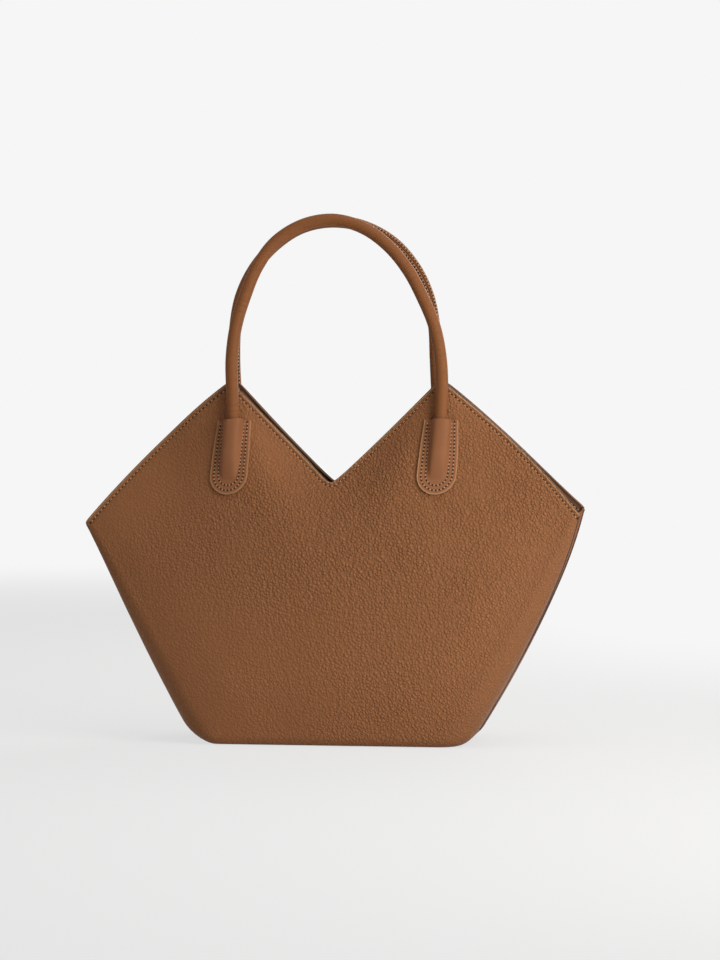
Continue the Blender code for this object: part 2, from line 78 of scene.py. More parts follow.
GUSSET_HALF_WIDTH = 0.0125
GUSSET_ROW_SHARES = (0.0, 0.2, 0.6, 1.0)
GUSSET_WIDTH_SHARES = (0.06, 0.50, 0.72, 1.0)
BASE_EDGE_RADIUS, BASE_END_RADIUS, BASE_END_RADIUS_SHIFT = 0.008, 0.014, -0.005
GAP, LEATHER, FACING_WIDTH = 0.0003, 0.0014, 0.032
CORNER_SHARE, SIDE_SHARE = 0.80, 0.92
STRIP_FOOT_LEVEL = (2 / 7) ** 0.8
NUDGE = 0.001

NOTCH_COLUMNS = (0.0, 0.001, 0.002, 0.003, 0.0045, 0.006, 0.0085, 0.012)
BAND_ROWS = (32, 26, 21, 17, 13.5, 11, 9, 8, 7.2, 6.5, 5.9, 5.3)
BAND_ROWS += (4.7, 4.1, 3.6, 3.1, 2.6, 2.1, 1.6, 1.1, 0.6, 0.2, 0)
SIDE_COLUMNS = (0.1, 0.25, 0.45, 0.65, 0.8, 0.9, 0.95, 0.98, 1.0)
STITCH_INSET = 0.0035
GROOVE_DEPTH, GROOVE_WIDTH = 0.0008, 0.0013
EDGE_ROLL, SEAM_ROLL = 0.0016, 0.0016
SWELL, SWELL_FOOT, SWELL_TOP, SWELL_SIDE, SWELL_FADE = 0.00015, 0.04, 0.20, 0.19, 0.05
SWELL_WAVES = ((1.0, 31, 19, 0.7), (1.0, -24, 41, 2.1), (0.7, 57, 13, 0.0))
SAG_START, SAG_FOOT, SAG_DEPTH = 0.11, 0.11, 0.006
BACK_LIFT, FRONT_LIFT, BACK_PULL, FRONT_PULL, PULL_FOOT = 0.0065, 0.0010, 0.0020, 0.0046, 0.07
LEFT_PRESS, LEFT_REACH, PRESS_FADE = 0.08, 0.060, 0.045

BROWN, EDGE_TAN = (0.260, 0.1055, 0.0420), (0.39, 0.200, 0.093)
PAINT_REACH, PAINT_EDGE = 0.0020, (0.42, 0.56)
SIDE_PAINTED_SHADE, SIDE_LEAN, SIDE_BAND = 0.13, 0.535, (0.070, 0.120)
PEBBLE_TURN, PEBBLE_STRETCH, PEBBLE_SHADE_TONE = -0.55, 1.2, 0.16
FULL = (1.0, 1.0, 1.0)
RAYS = ("Camera", "Glossy", "Transmission")


def clamp(values):
    return np.clip(values, 0, 1)


def smooth(stations, values, place):
    """Smooth curve through the values at the stations; the values' last axis runs along them."""
    stations, place = np.asarray(stations, float), np.asarray(place, float)
    values = np.broadcast_to(np.asarray(values, float), place.shape + (len(stations),))
    low = np.maximum(np.arange(len(stations)) - 1, 0)
    high = np.minimum(np.arange(len(stations)) + 1, len(stations) - 1)
    slopes = (values[..., high] - values[..., low]) / (stations[high] - stations[low])
    k = np.searchsorted(stations[1:-1], place)
    span = stations[k + 1] - stations[k]
    t = clamp((place - stations[k]) / span)

    def pick(table, index):
        return np.take_along_axis(table, index[..., None], -1)[..., 0]

    return (
        pick(values, k) * (1 + 2 * t) * (1 - t) ** 2
        + pick(values, k + 1) * t * t * (3 - 2 * t)
        + pick(slopes, k) * span * t * (1 - t) ** 2
        - pick(slopes, k + 1) * span * t * t * (1 - t)
    )


def on_side(side, value, shift):
    """A size of the outline on the left or the right half of the bag."""
    return np.where(np.asarray(side) > 0, value + shift, value - shift)


def side_half_width(side, t):
    """Distance of a side of the body from the middle, at a share of the shoulder height."""
    base = on_side(side, BASE_HALF_LENGTH, BASE_SHIFT)
    return base + (SHOULDER_HALF_WIDTH - base) * t + on_side(side, SIDE_BOW, SIDE_BOW_SHIFT) * 4 * t * (1 - t)


def corner_radius(t):
    """Radius of the turn from a panel's face to the side of the bag."""
    return CORNER_RADIUS * smooth(CORNER_ROW_SHARES, CORNER_RADIUS_SHARES, t)


def top_height(x):
    """Height of the mouth's edge over a place in the width."""
    out, peak = np.abs(x), on_side(x, PEAK_HALF_SPAN, PEAK_SHIFT)
    rise = (PEAK_HEIGHT - NOTCH_HEIGHT) / np.hypot(peak, NOTCH_ROUNDING)
    run = np.clip((out - peak) / (SHOULDER_HALF_WIDTH - peak), 0, None)
    shoulder = on_side(x, SHOULDER_HEIGHT, SHOULDER_SHIFT)
    bow = on_side(x, TOP_EDGE_BOW, TOP_EDGE_BOW_SHIFT) * 4 * run * (1 - run)
    slope = PEAK_HEIGHT + (shoulder - PEAK_HEIGHT) * run + bow
    return np.where(out <= peak, NOTCH_HEIGHT + rise * np.hypot(out, NOTCH_ROUNDING), slope)


FACE_REACH = SHOULDER_HALF_WIDTH - float(corner_radius(1.0))
CROWN_HEIGHTS = [
    share * float(top_height(math.sqrt(place) * FACE_REACH) + top_height(-math.sqrt(place) * FACE_REACH)) / 2
    for place, share in zip(DEPTH_COLUMN_SHARES, CROWN_SHARES)
]


def half_depth(out, z):
    """Distance of a panel's face from the middle plane, at a share of the way out and a height."""
    up = z / smooth(DEPTH_COLUMN_SHARES, CROWN_HEIGHTS, out * out)
    columns = np.stack([smooth(DEPTH_ROW_SHARES, shares, up) for shares in DEPTH_SHARES], -1)
    return BASE_HALF_DEPTH * smooth(DEPTH_COLUMN_SHARES, columns, out * out)


def column_places(s):
    """Shares of the way across the face, round the corner turn and along the side, at a column."""
    out = clamp(np.abs(s) / CORNER_SHARE)
    turn = clamp((np.abs(s) - CORNER_SHARE) / (SIDE_SHARE - CORNER_SHARE))
    return out, turn, clamp((np.abs(s) - SIDE_SHARE) / (1 - SIDE_SHARE))


def panel_top(s):
    """Height of the top edge at s, which runs from seam to seam."""
    out, turn, _ = column_places(s)
    x = out * FACE_REACH + corner_radius(1.0) * np.sin(turn * math.pi / 2)
    return top_height(np.copysign(x, s))


def panel_radius(s):
    """Radius of the base edge at s: small along the front and larger at the ends."""
    turn = column_places(s)[1]
    end = on_side(s, BASE_END_RADIUS, BASE_END_RADIUS_SHIFT)
    return BASE_EDGE_RADIUS + (end - BASE_EDGE_RADIUS) * turn * turn * (3 - 2 * turn)


def level(s, below_top):
    """The h of a place that lies a given distance under the top edge."""
    radius, top = panel_radius(s), panel_top(s)
    return (top - below_top - radius) / (top - radius)


def seam_half_depth(side, t):
    """Half the width of the side strip, where its seams with the panels are."""
    radius = on_side(side, BASE_END_RADIUS, BASE_END_RADIUS_SHIFT)
    top = on_side(side, SHOULDER_HEIGHT, SHOULDER_SHIFT)
    foot = (radius + (top - FACING_WIDTH - radius) * STRIP_FOOT_LEVEL) / top
    up = (t - foot) / (1 - foot)
    return np.where(up < -NUDGE, 0.0, GUSSET_HALF_WIDTH * smooth(GUSSET_ROW_SHARES, GUSSET_WIDTH_SHARES, up))


def panel_place(s, h):
    """A point of the front panel's outer face, and its distance from the side seam."""
    out, turn, along = column_places(s)
    top, radius = panel_top(s), panel_radius(s)
    under = (1 + np.minimum(h, 0)) * math.pi / 2
    z = np.where(h < 0, radius * (1 - np.cos(under)), radius + (top - radius) * h)
    turned_in = np.where(h < 0, radius * (1 - np.sin(under)), 0.0)
    t = z / top
    bend = corner_radius(t)
    side_start = half_depth(out, z) - bend
    angle = turn * math.pi / 2
    x = out * (side_half_width(s, t) - bend) + (bend - turned_in) * np.sin(angle)
    span = side_start - seam_half_depth(s, t) - GAP / 2
    y = side_start + (bend - turned_in) * np.cos(angle) - span * along
    return np.stack([np.copysign(x, s), -y, z], -1), np.where(along > 0, span * (1 - along), 1.0)


def panel_point(s, h):
    return panel_place(s, h)[0]


def unit(vectors):
    """The vectors brought to length 1."""
    return vectors / np.linalg.norm(vectors, axis=-1, keepdims=True)


def face_normal(point, a, b):
    """Outward normal of a face that is given by its point function."""
    along = point(np.minimum(a + NUDGE, 1), b) - point(np.maximum(a - NUDGE, -1), b)
    up = point(a, np.minimum(b + NUDGE, 1)) - point(a, np.maximum(b - NUDGE, -1))
    return unit(np.cross(along, up))


row_s = np.linspace(-1, 1, 801)
edge_line = panel_point(row_s, np.ones(len(row_s)))
under_edge = panel_point(row_s, level(row_s, STITCH_INSET))
row_distance = np.linalg.norm(under_edge[:, None] - edge_line[None], axis=2).min(1)
row_drop = STITCH_INSET**2 / row_distance


def stitch_drop(s):
    """How far under the top edge the stitches run, so that they keep one distance from it."""
    return np.interp(s, row_s, row_drop)


def panel_columns():
    """The places of the columns: close at the notch, one at each peak, and close at the side seams."""
    columns = []
    for side in (-1, 1):
        peak = float(on_side(side, PEAK_HALF_SPAN, PEAK_SHIFT))
        face = [*NOTCH_COLUMNS, *np.linspace(0.017, peak, 14), *np.linspace(peak, FACE_REACH, 24)[1:]]
        half = [CORNER_SHARE * x / FACE_REACH for x in face]
        half += list(np.linspace(CORNER_SHARE, SIDE_SHARE, 13)[1:])
        half += [SIDE_SHARE + (1 - SIDE_SHARE) * place for place in SIDE_COLUMNS]
        columns += [side * s for s in half]
    return np.array(sorted(set(columns)))


def wall_grid(with_base, lowest_band):
    """The s and h of a layer's vertices, from the underside or the wall's foot up to its upper edge."""
    s = panel_columns()
    rows = [np.full(len(s), h) for h in np.linspace(-1, 0, 9)[:-1]] if with_base else []
    rows += [level(s, FACING_WIDTH) * share for share in np.linspace(0, 1, 36)[:-1]]
    rows += [level(s, distance / 1000) for distance in BAND_ROWS if distance >= lowest_band]
    return np.broadcast_to(s, (len(rows), len(s))), np.array(rows)


def deselect():
    bpy.ops.object.select_all(action="DESELECT")


def choose(piece):
    """Selects one piece alone and makes it active."""
    deselect()
    piece.select_set(True)
    bpy.context.view_layer.objects.active = piece


def read_points(piece):
    flat = np.empty(len(piece.data.vertices) * 3)
    piece.data.vertices.foreach_get("co", flat)
    return flat.reshape(-1, 3)


def lay_grid(name, points, **marks):
    """A grid primitive whose vertices are laid on a surface, row by row, with marks for its finish to read."""
    rows, columns = points.shape[0] - 1, points.shape[1] - 1
    deselect()
    bpy.ops.mesh.primitive_grid_add(x_subdivisions=columns, y_subdivisions=rows, size=2, location=(0, 0, 0))
    piece = bpy.context.object
    piece.name = piece.data.name = name
    flat = read_points(piece)
    column = np.rint((flat[:, 0] + 1) / 2 * columns).astype(int)
    row = np.rint((flat[:, 1] + 1) / 2 * rows).astype(int)
    piece.data.vertices.foreach_set("co", points[row, column].ravel())
    for mark, values in marks.items():
        values = np.broadcast_to(values, points.shape[:2])[row, column].astype(np.float32)
        piece.data.attributes.new(mark, "FLOAT", "POINT").data.foreach_set("value", values)
    piece.data.update()
    return piece


def apply_modifier(piece, kind, **settings):
    """Adds a modifier with its settings and applies it."""
    choose(piece)
    modifier = piece.modifiers.new(kind.lower(), kind)
    for name, value in settings.items():
        setattr(modifier, name, value)
    bpy.ops.object.modifier_apply(modifier=modifier.name)


def shade(piece, degrees):
    """Smooth shading that keeps the edges sharper than an angle."""
    choose(piece)
    bpy.ops.object.shade_smooth_by_angle(angle=math.radians(degrees))


def thicken(piece, thickness):
    """Gives a laid surface its thickness, inwards, and shades it."""
    apply_modifier(piece, "SOLIDIFY", thickness=thickness, offset=-1)
    shade(piece, 50)
    return piece


def dress(piece, *finishes):
    """Gives a piece its finishes in place of those it has, and keeps which face has which."""
    numbers = np.zeros(len(piece.data.polygons), np.int32)
    piece.data.polygons.foreach_get("material_index", numbers)
    piece.data.materials.clear()
    for finish in finishes:
        piece.data.materials.append(finish.material)
    piece.data.polygons.foreach_set("material_index", numbers)
    return piece


def stand(wall, piece):
    """Leaves a piece in the front wall or mirrors it into the back one, and gives it the bag's uneven set: the
    back wall stands up at the right shoulder, and the left side is pressed a little flat."""
    if wall == "back":
        piece.data.transform(Matrix.Scale(-1.0, 4, Vector((0.0, 1.0, 0.0))))
        piece.data.flip_normals()
    flat = read_points(piece)
    out = clamp((flat[:, 0] - SAG_START) / (SHOULDER_HALF_WIDTH - SAG_START))
    under_peak = clamp((PEAK_HEIGHT - flat[:, 2]) / (PEAK_HEIGHT - SHOULDER_HEIGHT))
    up = clamp((flat[:, 2] - SAG_FOOT) / (SHOULDER_HEIGHT - SAG_FOOT)) ** 2 * under_peak
    low = clamp((flat[:, 2] - PULL_FOOT) / (SHOULDER_HEIGHT - PULL_FOOT)) * under_peak
    back = (1 + np.tanh(flat[:, 1] / SAG_DEPTH)) / 2
    flat[:, 2] += up * out**4 * (FRONT_LIFT + (BACK_LIFT - FRONT_LIFT) * back)
    flat[:, 0] -= out**2 * (up * BACK_PULL + low * (1 - back) * (FRONT_PULL - BACK_PULL))
    inside = side_half_width(-1, clamp(flat[:, 2] / SHOULDER_HEIGHT)) + flat[:, 0]
    fade = clamp(flat[:, 2] / PRESS_FADE) * clamp((SHOULDER_HEIGHT - flat[:, 2]) / PRESS_FADE)
    flat[:, 1] *= 1 - LEFT_PRESS * fade * clamp(1 - inside / LEFT_REACH) ** 1.5
    piece.data.vertices.foreach_set("co", flat.ravel())
    piece.data.update()
    return piece


class Signal:
    """One output of a node; Python's operators on it add Math nodes to the same nodes."""

    def __init__(self, nodes, socket):
        self.nodes, self.socket = nodes, socket

    def maths(self, operation, *values):
        return self.nodes.node("Math", {"operation": operation}, dict(enumerate(values)))

    def __add__(self, other):
        return self.maths("ADD", self, other)

    def __sub__(self, other):
        return self.maths("SUBTRACT", self, other)

    def __rsub__(self, other):
        return self.maths("SUBTRACT", other, self)

    def __mul__(self, other):
        return self.maths("MULTIPLY", self, other)

    def __pow__(self, other):
        return self.maths("POWER", self, other)

    def step(self, low, high):
        """Rises smoothly from 0 at low to 1 at high."""
        ease = {"interpolation_type": "SMOOTHSTEP"}
        ends = (1.0, 0.0) if high < low else (0.0, 1.0)
        spread = {"Value": self, 1: min(low, high), 2: max(low, high), 3: ends[0], 4: ends[1]}
        return self.nodes.node("MapRange", ease, spread)

    __radd__, __rmul__ = __add__, __mul__


class Nodes:
    """The nodes of a material or of the world, to which more are added."""

    def __init__(self, owner):
        owner.use_nodes = True
        self.tree = owner.node_tree

    def connect(self, node, values):
        for key, value in values.items():
            if isinstance(value, Signal):
                self.tree.links.new(value.socket, node.inputs[key])
            else:
                node.inputs[key].default_value = value

    def node(self, kind, settings, values, output=0):
        """Any node: its type, its settings, and the values or links of its sockets."""
        node = self.tree.nodes.new("ShaderNode" + kind)
        for name, value in settings.items():
            setattr(node, name, value)
        self.connect(node, values)
        return Signal(self, node.outputs[output])

    def glow(self, output, share, lit, plain):
        """Shows a plain glow over what is lit, by a share, to the camera, in mirrors and through glass."""
        rays = [self.node("LightPath", {}, {}, f"Is {ray} Ray") for ray in RAYS]
        shown = rays[0] + rays[1] + rays[2]
        shown = shown.maths("MINIMUM", shown, 1.0) * share
        blended = self.node("MixShader", {}, {0: shown, 1: lit, 2: plain})
        self.connect(self.tree.nodes[output], {"Surface": blended})


class Finish(Nodes):
    """A finish: a material with a Principled shader."""

    def __init__(self, name, **shader):
        self.material = bpy.data.materials.new(name)
        super().__init__(self.material)
        self.shader = self.tree.nodes["Principled BSDF"]
        self.set(**{word.replace("_", " "): value for word, value in shader.items()})

    def set(self, **values):
        self.connect(self.shader, values)

    def place(self, turn=(0, 0, 0), stretch=(1, 1, 1)):
        """Object coordinates in turned axes, along which a pattern is stretched."""
        here = self.node("TexCoord", {}, {}, "Object")
        axes = {"Vector": here, "Rotation": turn, "Scale": stretch}
        return self.node("Mapping", {"vector_type": "TEXTURE"}, axes)

    def axis(self, name):
        return self.node("SeparateXYZ", {}, {0: self.node("TexCoord", {}, {}, "Object")}, name)

    def noise(self, vector, scale, detail=2.0, output="Fac"):
        return self.node("TexNoise", {}, {"Vector": vector, "Scale": scale, "Detail": detail}, output)

    def mix(self, factor, low, high, blend="MIX"):
        """A colour between two, or blended from them."""
        return self.node("Mix", {"data_type": "RGBA", "blend_type": blend}, {0: factor, 6: low, 7: high}, 2)

    def paint(self, factor, low, high):
        """A base colour between two."""
        self.set(**{"Base Color": self.mix(factor, low, high)})

    def mark(self, name):
        """What lay_grid stored at the vertices under a name."""
        return self.node("Attribute", {"attribute_name": name}, {}, "Fac")

    def relief(self, height, depth):
        self.set(Normal=self.node("Bump", {}, {"Strength": 1.0, "Distance": depth, "Height": height}))


def shaded(colour, share):
    return (*(share * value for value in colour), 1.0)


def bend_place(finish, place, amount, scale):
    """A place that wanders a little, so that a pattern on it isn't straight."""
    drift = finish.noise(place, scale, 1.0, "Color")
    scaled = finish.node("VectorMath", {"operation": "SCALE"}, {0: drift, "Scale": amount}, 0)
    return finish.node("VectorMath", {"operation": "ADD"}, {0: place, 1: scaled}, 0)


def pebbled_leather(name, colour, pebble, depth, contrast, edge):
    """Pebbled leather: soft slanting pebbles with creases between them, worn smooth on the left and low down,
    with painted shade towards the sides of the bag, darker creases and lighter pebble tops that are partly
    the grain's colour and partly painted shade and light, and painted where its cut edge is near."""
    finish = Finish(name, Roughness=0.55, Specular_IOR_Level=0.13)
    axes = finish.place((0.0, PEBBLE_TURN, 0.0), (1.0, 1.0, PEBBLE_STRETCH))
    place = bend_place(finish, axes, 0.9 * pebble, 0.35 / pebble)
    values = {"Vector": place, "Scale": 1 / pebble}
    middles = finish.node("TexVoronoi", {"feature": "SMOOTH_F1"}, {**values, "Smoothness": 0.35}, "Distance")
    borders = finish.node("TexVoronoi", {"feature": "DISTANCE_TO_EDGE"}, values, "Distance")
    cushion = middles.step(0.72, 0.12) * 0.65 + borders.step(0.0, 0.22) * 0.35
    small = finish.noise(place, 3.2 / pebble, 2.0)
    patches = finish.noise(finish.place(), 14.0, 2.0)
    x, z = finish.axis("X"), finish.axis("Z")
    worn = (0.35 + 0.65 * (x + 0.5 * z).step(-0.12, 0.11)) * (0.7 + 0.3 * z.step(0.06, 0.15))
    worn = worn * (1 - 0.5 * (x - 0.5 * z).step(0.04, 0.13)) * (1 - 0.45 * (z - 0.3 * x).step(0.20, 0.26))
    grain = contrast * worn * (0.8 + 0.4 * patches.step(0.35, 0.65))
    finish.relief((cushion + 0.22 * small) * grain, depth)
    slow = finish.mix(patches.step(0.3, 0.7), shaded(colour, 0.96), shaded(colour, 1.04))
    # Creases darker and pebble tops lighter: partly the grain's own colour, partly painted shade in the
    # creases and painted light on the tops.
    tone = 0.5 + (0.7 * cushion + 0.4 * small - 0.52) * grain
    shares = finish.mix(tone, shaded(FULL, 1 - PEBBLE_SHADE_TONE), shaded(FULL, 1 + PEBBLE_SHADE_TONE))
    leather = finish.mix(1.0, slow, shares, "MULTIPLY")
    # Painted shade: the leather is darkened in a band towards both sides of the bag, where its face turns away
    # from the light.
    side_shade_mask = (x.maths("ABSOLUTE", x) - SIDE_LEAN * z).step(*SIDE_BAND)
    side_painted_shade = finish.mix(side_shade_mask, shaded(FULL, 1.0), shaded(FULL, 1 - SIDE_PAINTED_SHADE))
    leather = finish.mix(1.0, leather, side_painted_shade, "MULTIPLY")
    painted = finish.mark("paint").step(*PAINT_EDGE)
    finish.paint(painted, leather, shaded(edge, 1.0))
    finish.set(Roughness=0.62 - 0.12 * cushion)
    return finish


body_leather = pebbled_leather("body_leather", BROWN, 0.0023, 0.0012, 1.0, EDGE_TAN)


def swell(points):
    """Slow unevenness of the soft leather below the tabs, which dies out towards the edges."""
    x, z = points[..., 0], points[..., 2]
    wave = sum(share * np.sin(a * x + b * z + c) for share, a, b, c in SWELL_WAVES)
    fade = clamp(z / SWELL_FOOT) * clamp((SWELL_TOP - z) / SWELL_FADE)
    return SWELL * wave * fade * clamp((SWELL_SIDE - np.abs(x)) / SWELL_FADE)


def panel_surface(s, h):
    """The panel's face with its rolled edges, its stitch groove and its swells, and the normals under it."""
    points, seam = panel_place(s, h)
    normals = face_normal(panel_point, s, h)
    below = panel_top(s) - points[..., 2]
    inset = GROOVE_DEPTH * np.exp(-(((below - stitch_drop(s)) / GROOVE_WIDTH) ** 2))
    inset += 0.12 * EDGE_ROLL * clamp(1 - below / EDGE_ROLL) ** 2
    near = np.clip(SEAM_ROLL - seam, 0, SEAM_ROLL * 0.98)
    inset += SEAM_ROLL - np.sqrt(SEAM_ROLL**2 - near**2)
    return points - normals * (inset - swell(points))[..., None], normals


def panel_layer(name, with_base, lowest_band, depth, thickness):
    """A layer of the front wall at a depth under the panel's face."""
    s, h = wall_grid(with_base, lowest_band)
    points, normals = panel_surface(s, h)
    from_edge = (panel_top(s) - points[..., 2]) * np.interp(s, row_s, row_distance) / STITCH_INSET
    piece = lay_grid(name, points - normals * depth, paint=clamp(1 - from_edge / PAINT_REACH))
    return thicken(piece, thickness)


def on_bag(piece, node, stands_for=True):
    """Puts a piece on the bag's body and, where it stands for a node of the part, hides that node."""
    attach(piece, "bag")
    if stands_for:
        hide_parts(node)


for wall in WALLS:
    panel = stand(wall, panel_layer(f"{wall}_leather_panel", True, 0.0, 0.0, LEATHER))
    on_bag(dress(panel, body_leather), f"{wall}_panel")

# ----------------------------------------
# Stiffeners, linings and facings. Behind each panel lies a thin stiff board, then a lining of brown
# twill that is glued and sewn to it, and round the mouth a band of smooth leather that faces the wall.

STIFFENER, LINING, FACING = 0.0008, 0.0008, 0.0010
STIFFENER_MARGIN = 4
STIFFENER_DEPTH = LEATHER + GAP
LINING_DEPTH = STIFFENER_DEPTH + STIFFENER + GAP
TWILL_BROWN, BOARD_GREY = (0.095, 0.045, 0.024), (0.30, 0.27, 0.23)
FACING_BROWN = (0.105, 0.045, 0.022)


def twill(name, colour, thread):
    """Cotton twill: fine slanting ribs crossed by the threads."""
    finish = Finish(name, Roughness=0.95, Specular_IOR_Level=0.1, Sheen_Weight=0.04)
    slant = {"bands_direction": "X", "wave_profile": "SIN"}
    waves = []
    for turn, scale, wander in ((0.9, 0.35, 0.6), (-0.67, 0.55, 0.9)):
        values = {"Vector": finish.place((0, turn, 0)), "Scale": scale / thread, "Distortion": wander}
        waves.append(finish.node("TexWave", slant, values))
    weave = waves[0] * 0.7 + waves[1] * 0.3
    finish.relief(weave, 0.00015)
    tone = 0.55 * weave + 0.3 * finish.noise(finish.place(), 30.0)
    finish.paint(tone, shaded(colour, 0.7), shaded(colour, 1.35))
    return finish


def fibre_board(name, colour):
    """Pressed board or cord: matt, with short fibres."""
    finish = Finish(name, Roughness=0.9)
    fibres = finish.noise(finish.place((0, 0, 0), (1, 1, 5)), 900.0, 3.0)
    finish.relief(fibres, 0.0001)
    finish.paint(fibres, shaded(colour, 0.8), shaded(colour, 1.15))
    return finish


lining_twill = twill("lining_twill", TWILL_BROWN, 0.0006)
stiff_board = fibre_board("stiff_board", BOARD_GREY)
facing_leather = pebbled_leather("facing_leather", FACING_BROWN, 0.0012, 0.0001, 0.35, FACING_BROWN)

for wall in WALLS:
    board = panel_layer(f"{wall}_stiff_layer", False, STIFFENER_MARGIN, STIFFENER_DEPTH, STIFFENER)
    stiffener = stand(wall, board)
    on_bag(dress(stiffener, stiff_board), f"{wall}_stiffener")
    lining = stand(wall, panel_layer(f"{wall}_lining_cloth", True, 32, LINING_DEPTH, LINING))
    on_bag(dress(lining, lining_twill), f"{wall}_lining")
    columns = panel_columns()
    bands = [level(columns, distance / 1000) for distance in BAND_ROWS if distance < 32]
    bands.insert(0, level(columns, FACING_WIDTH - GAP))
    s, h = np.broadcast_to(columns, (len(bands), len(columns))), np.array(bands)
    points, normals = panel_surface(s, h)
    facing = thicken(lay_grid(f"{wall}_facing_band", points - normals * LINING_DEPTH), FACING)
    on_bag(dress(stand(wall, facing), facing_leather), f"{wall}_facing")

# ----------------------------------------
# Painted edge of the mouth. The cut edges of panel and facing are pressed together and covered with
# several coats of brown edge paint, darker over the panel and darkest where the two leathers meet.

WALL_THICKNESS = LINING_DEPTH + FACING
EDGE_BEAD, EDGE_FOOT = 0.0010, 0.0009
EDGE_SIDES, WELD = 20, 1e-6
OUTER_BROWN, INNER_BROWN = (0.065, 0.028, 0.014), (0.150, 0.063, 0.028)
EDGE_DARK = (0.026, 0.012, 0.006)


def weld(fill):
    """Merges doubled vertices of the active piece, fills its open ends if asked, and turns its faces out."""
    bpy.ops.object.mode_set(mode="EDIT")
    bpy.ops.mesh.select_all(action="SELECT")
    bpy.ops.mesh.remove_doubles(threshold=WELD)
    if fill:
        bpy.ops.mesh.select_all(action="DESELECT")
        bpy.ops.mesh.select_non_manifold()
        bpy.ops.mesh.fill_holes(sides=0)
    bpy.ops.mesh.select_all(action="SELECT")
    bpy.ops.mesh.normals_make_consistent(inside=False)
    bpy.ops.object.mode_set(mode="OBJECT")


def lay_tube(name, rings, **marks):
    """A closed tube: a grid primitive laid round a path, merged along its seam and closed at both ends."""
    for mark, values in marks.items():
        values = np.broadcast_to(values, rings.shape[:2])
        marks[mark] = np.concatenate([values, values[:, :1]], 1)
    piece = lay_grid(name, np.concatenate([rings, rings[:, :1]], 1), **marks)
    weld(True)
    return piece


def lined_paint(name):
    """Satin edge paint, dark along the middle and where the bead meets the leather."""
    finish = Finish(name, Roughness=0.55, Specular_IOR_Level=0.2)
    rim = finish.mark("rim")
    wear = finish.noise(finish.place(), 260.0)
    line = rim.step(-0.9, -1.0) + rim.step(-0.3, -0.15) * rim.step(0.3, 0.1) + rim.step(0.9, 1.0)
    halves = finish.mix(rim.step(0.0, 0.3), shaded(OUTER_BROWN, 1.0), shaded(INNER_BROWN, 1.0))
    colour = finish.mix(line, halves, shaded(EDGE_DARK, 1.0))
    finish.paint(wear * 0.3, colour, shaded(OUTER_BROWN, 1.3))
    finish.relief(wear, 0.0001)
    return finish


edge_paint = lined_paint("edge_paint")
edge_columns = panel_columns()
edge_points, edge_normals = panel_surface(edge_columns, np.ones(len(edge_columns)))
edge_run = np.gradient(edge_points, axis=0)
edge_up = unit(np.cross(edge_normals, edge_run))
edge_up *= np.sign(edge_up[:, 2:])
around = np.linspace(0, 2 * math.pi, EDGE_SIDES, endpoint=False)
deep = WALL_THICKNESS / 2 - WALL_THICKNESS / 2 * np.cos(around)
bead = np.where(np.sin(around) > 0, EDGE_BEAD, EDGE_FOOT) * np.sin(around)
edge_rings = (
    edge_points[:, None]
    - edge_normals[:, None] * deep[None, :, None]
    + edge_up[:, None] * bead[None, :, None]
)

for wall in WALLS:
    bead_piece = lay_tube(f"{wall}_edge_bead", edge_rings, rim=-np.cos(around))
    dress(stand(wall, bead_piece), edge_paint)
    shade(bead_piece, 60)
    on_bag(bead_piece, f"{wall}_facing", False)

# ----------------------------------------
# Stitches of the mouth. One row of thick polyester thread runs 3.5 mm under the edge, from shoulder
# to shoulder, and shows on both faces of each wall. Every stitch dives into a hole that the needle left,
# shown as a flat dark disc of painted shade.

STITCH_PITCH, STITCH_LENGTH, STITCH_WIDTH, STITCH_HEIGHT = 0.0041, 0.0019, 0.0008, 0.0008
HOLE_LENGTH, HOLE_WIDTH, HOLE_HEIGHT, THREAD_LIFT = 0.0025, 0.0017, 0.00022, 0.00005
MOUTH_ROW = (-0.885, 0.885)
THREAD_TAN, HOLE_SHADE = (0.46, 0.28, 0.165), (0.050, 0.022, 0.011)


def spun_thread(name, colour):
    """Twisted thread with a slight shine."""
    finish = Finish(name, Roughness=0.5)
    fuzz = finish.noise(finish.place((0, 0.8, 0), (1, 1, 3)), 2600.0)
    finish.relief(fuzz, 0.0001)
    finish.paint(fuzz, shaded(colour, 0.75), shaded(colour, 1.2))
    return finish


def needle_hole_shade(name):
    """A flat dark disc round the end of a stitch: painted shade that stands for the shadow in the pricked
    hole.
    """
    finish = Finish(name, Roughness=0.9, Specular_IOR_Level=0.1)
    worn = finish.noise(finish.place(), 1200.0)
    finish.paint(worn, shaded(HOLE_SHADE, 0.6), shaded(HOLE_SHADE, 1.6))
    return finish


def one_stitch(length, width, height, pitch):
    """A stitch and the dark disc of painted shade that stands for the hole at its end, as vertices, faces and
    finish numbers. The sphere operator's order changes from run to run, so they are put in one order."""
    vertices, faces, kinds = [], [], []
    sizes = ((length / 2, width / 2, height / 2), (HOLE_LENGTH / 2, HOLE_WIDTH / 2, HOLE_HEIGHT))
    places = ((0.0, THREAD_LIFT), (pitch / 2, 0.0))
    for number, (size, rings, (shift, lift)) in enumerate(zip(sizes, (6, 4), places)):
        deselect()
        bpy.ops.mesh.primitive_uv_sphere_add(segments=8, ring_count=rings, radius=1, location=(0, 0, 0))
        piece = bpy.context.object
        bpy.ops.object.mode_set(mode="EDIT")
        if number == 0:
            bpy.ops.transform.rotate(value=math.pi / 2, orient_axis="Y", center_override=(0, 0, 0))
        bpy.ops.transform.resize(value=size)
        bpy.ops.object.mode_set(mode="OBJECT")
        start, mesh, points = len(vertices), piece.data, read_points(piece)
        order = np.lexsort(np.round(points, 7).T)
        vertices += (points[order] + (shift, 0.0, lift)).tolist()
        loops = [(start + np.argsort(order)[list(face.vertices)]).tolist() for face in mesh.polygons]
        faces += sorted(loop[loop.index(min(loop)) :] + loop[: loop.index(min(loop))] for loop in loops)
        kinds += [number] * len(mesh.polygons)
        bpy.data.objects.remove(piece)
        bpy.data.meshes.remove(mesh)
    return np.array(vertices), faces, kinds


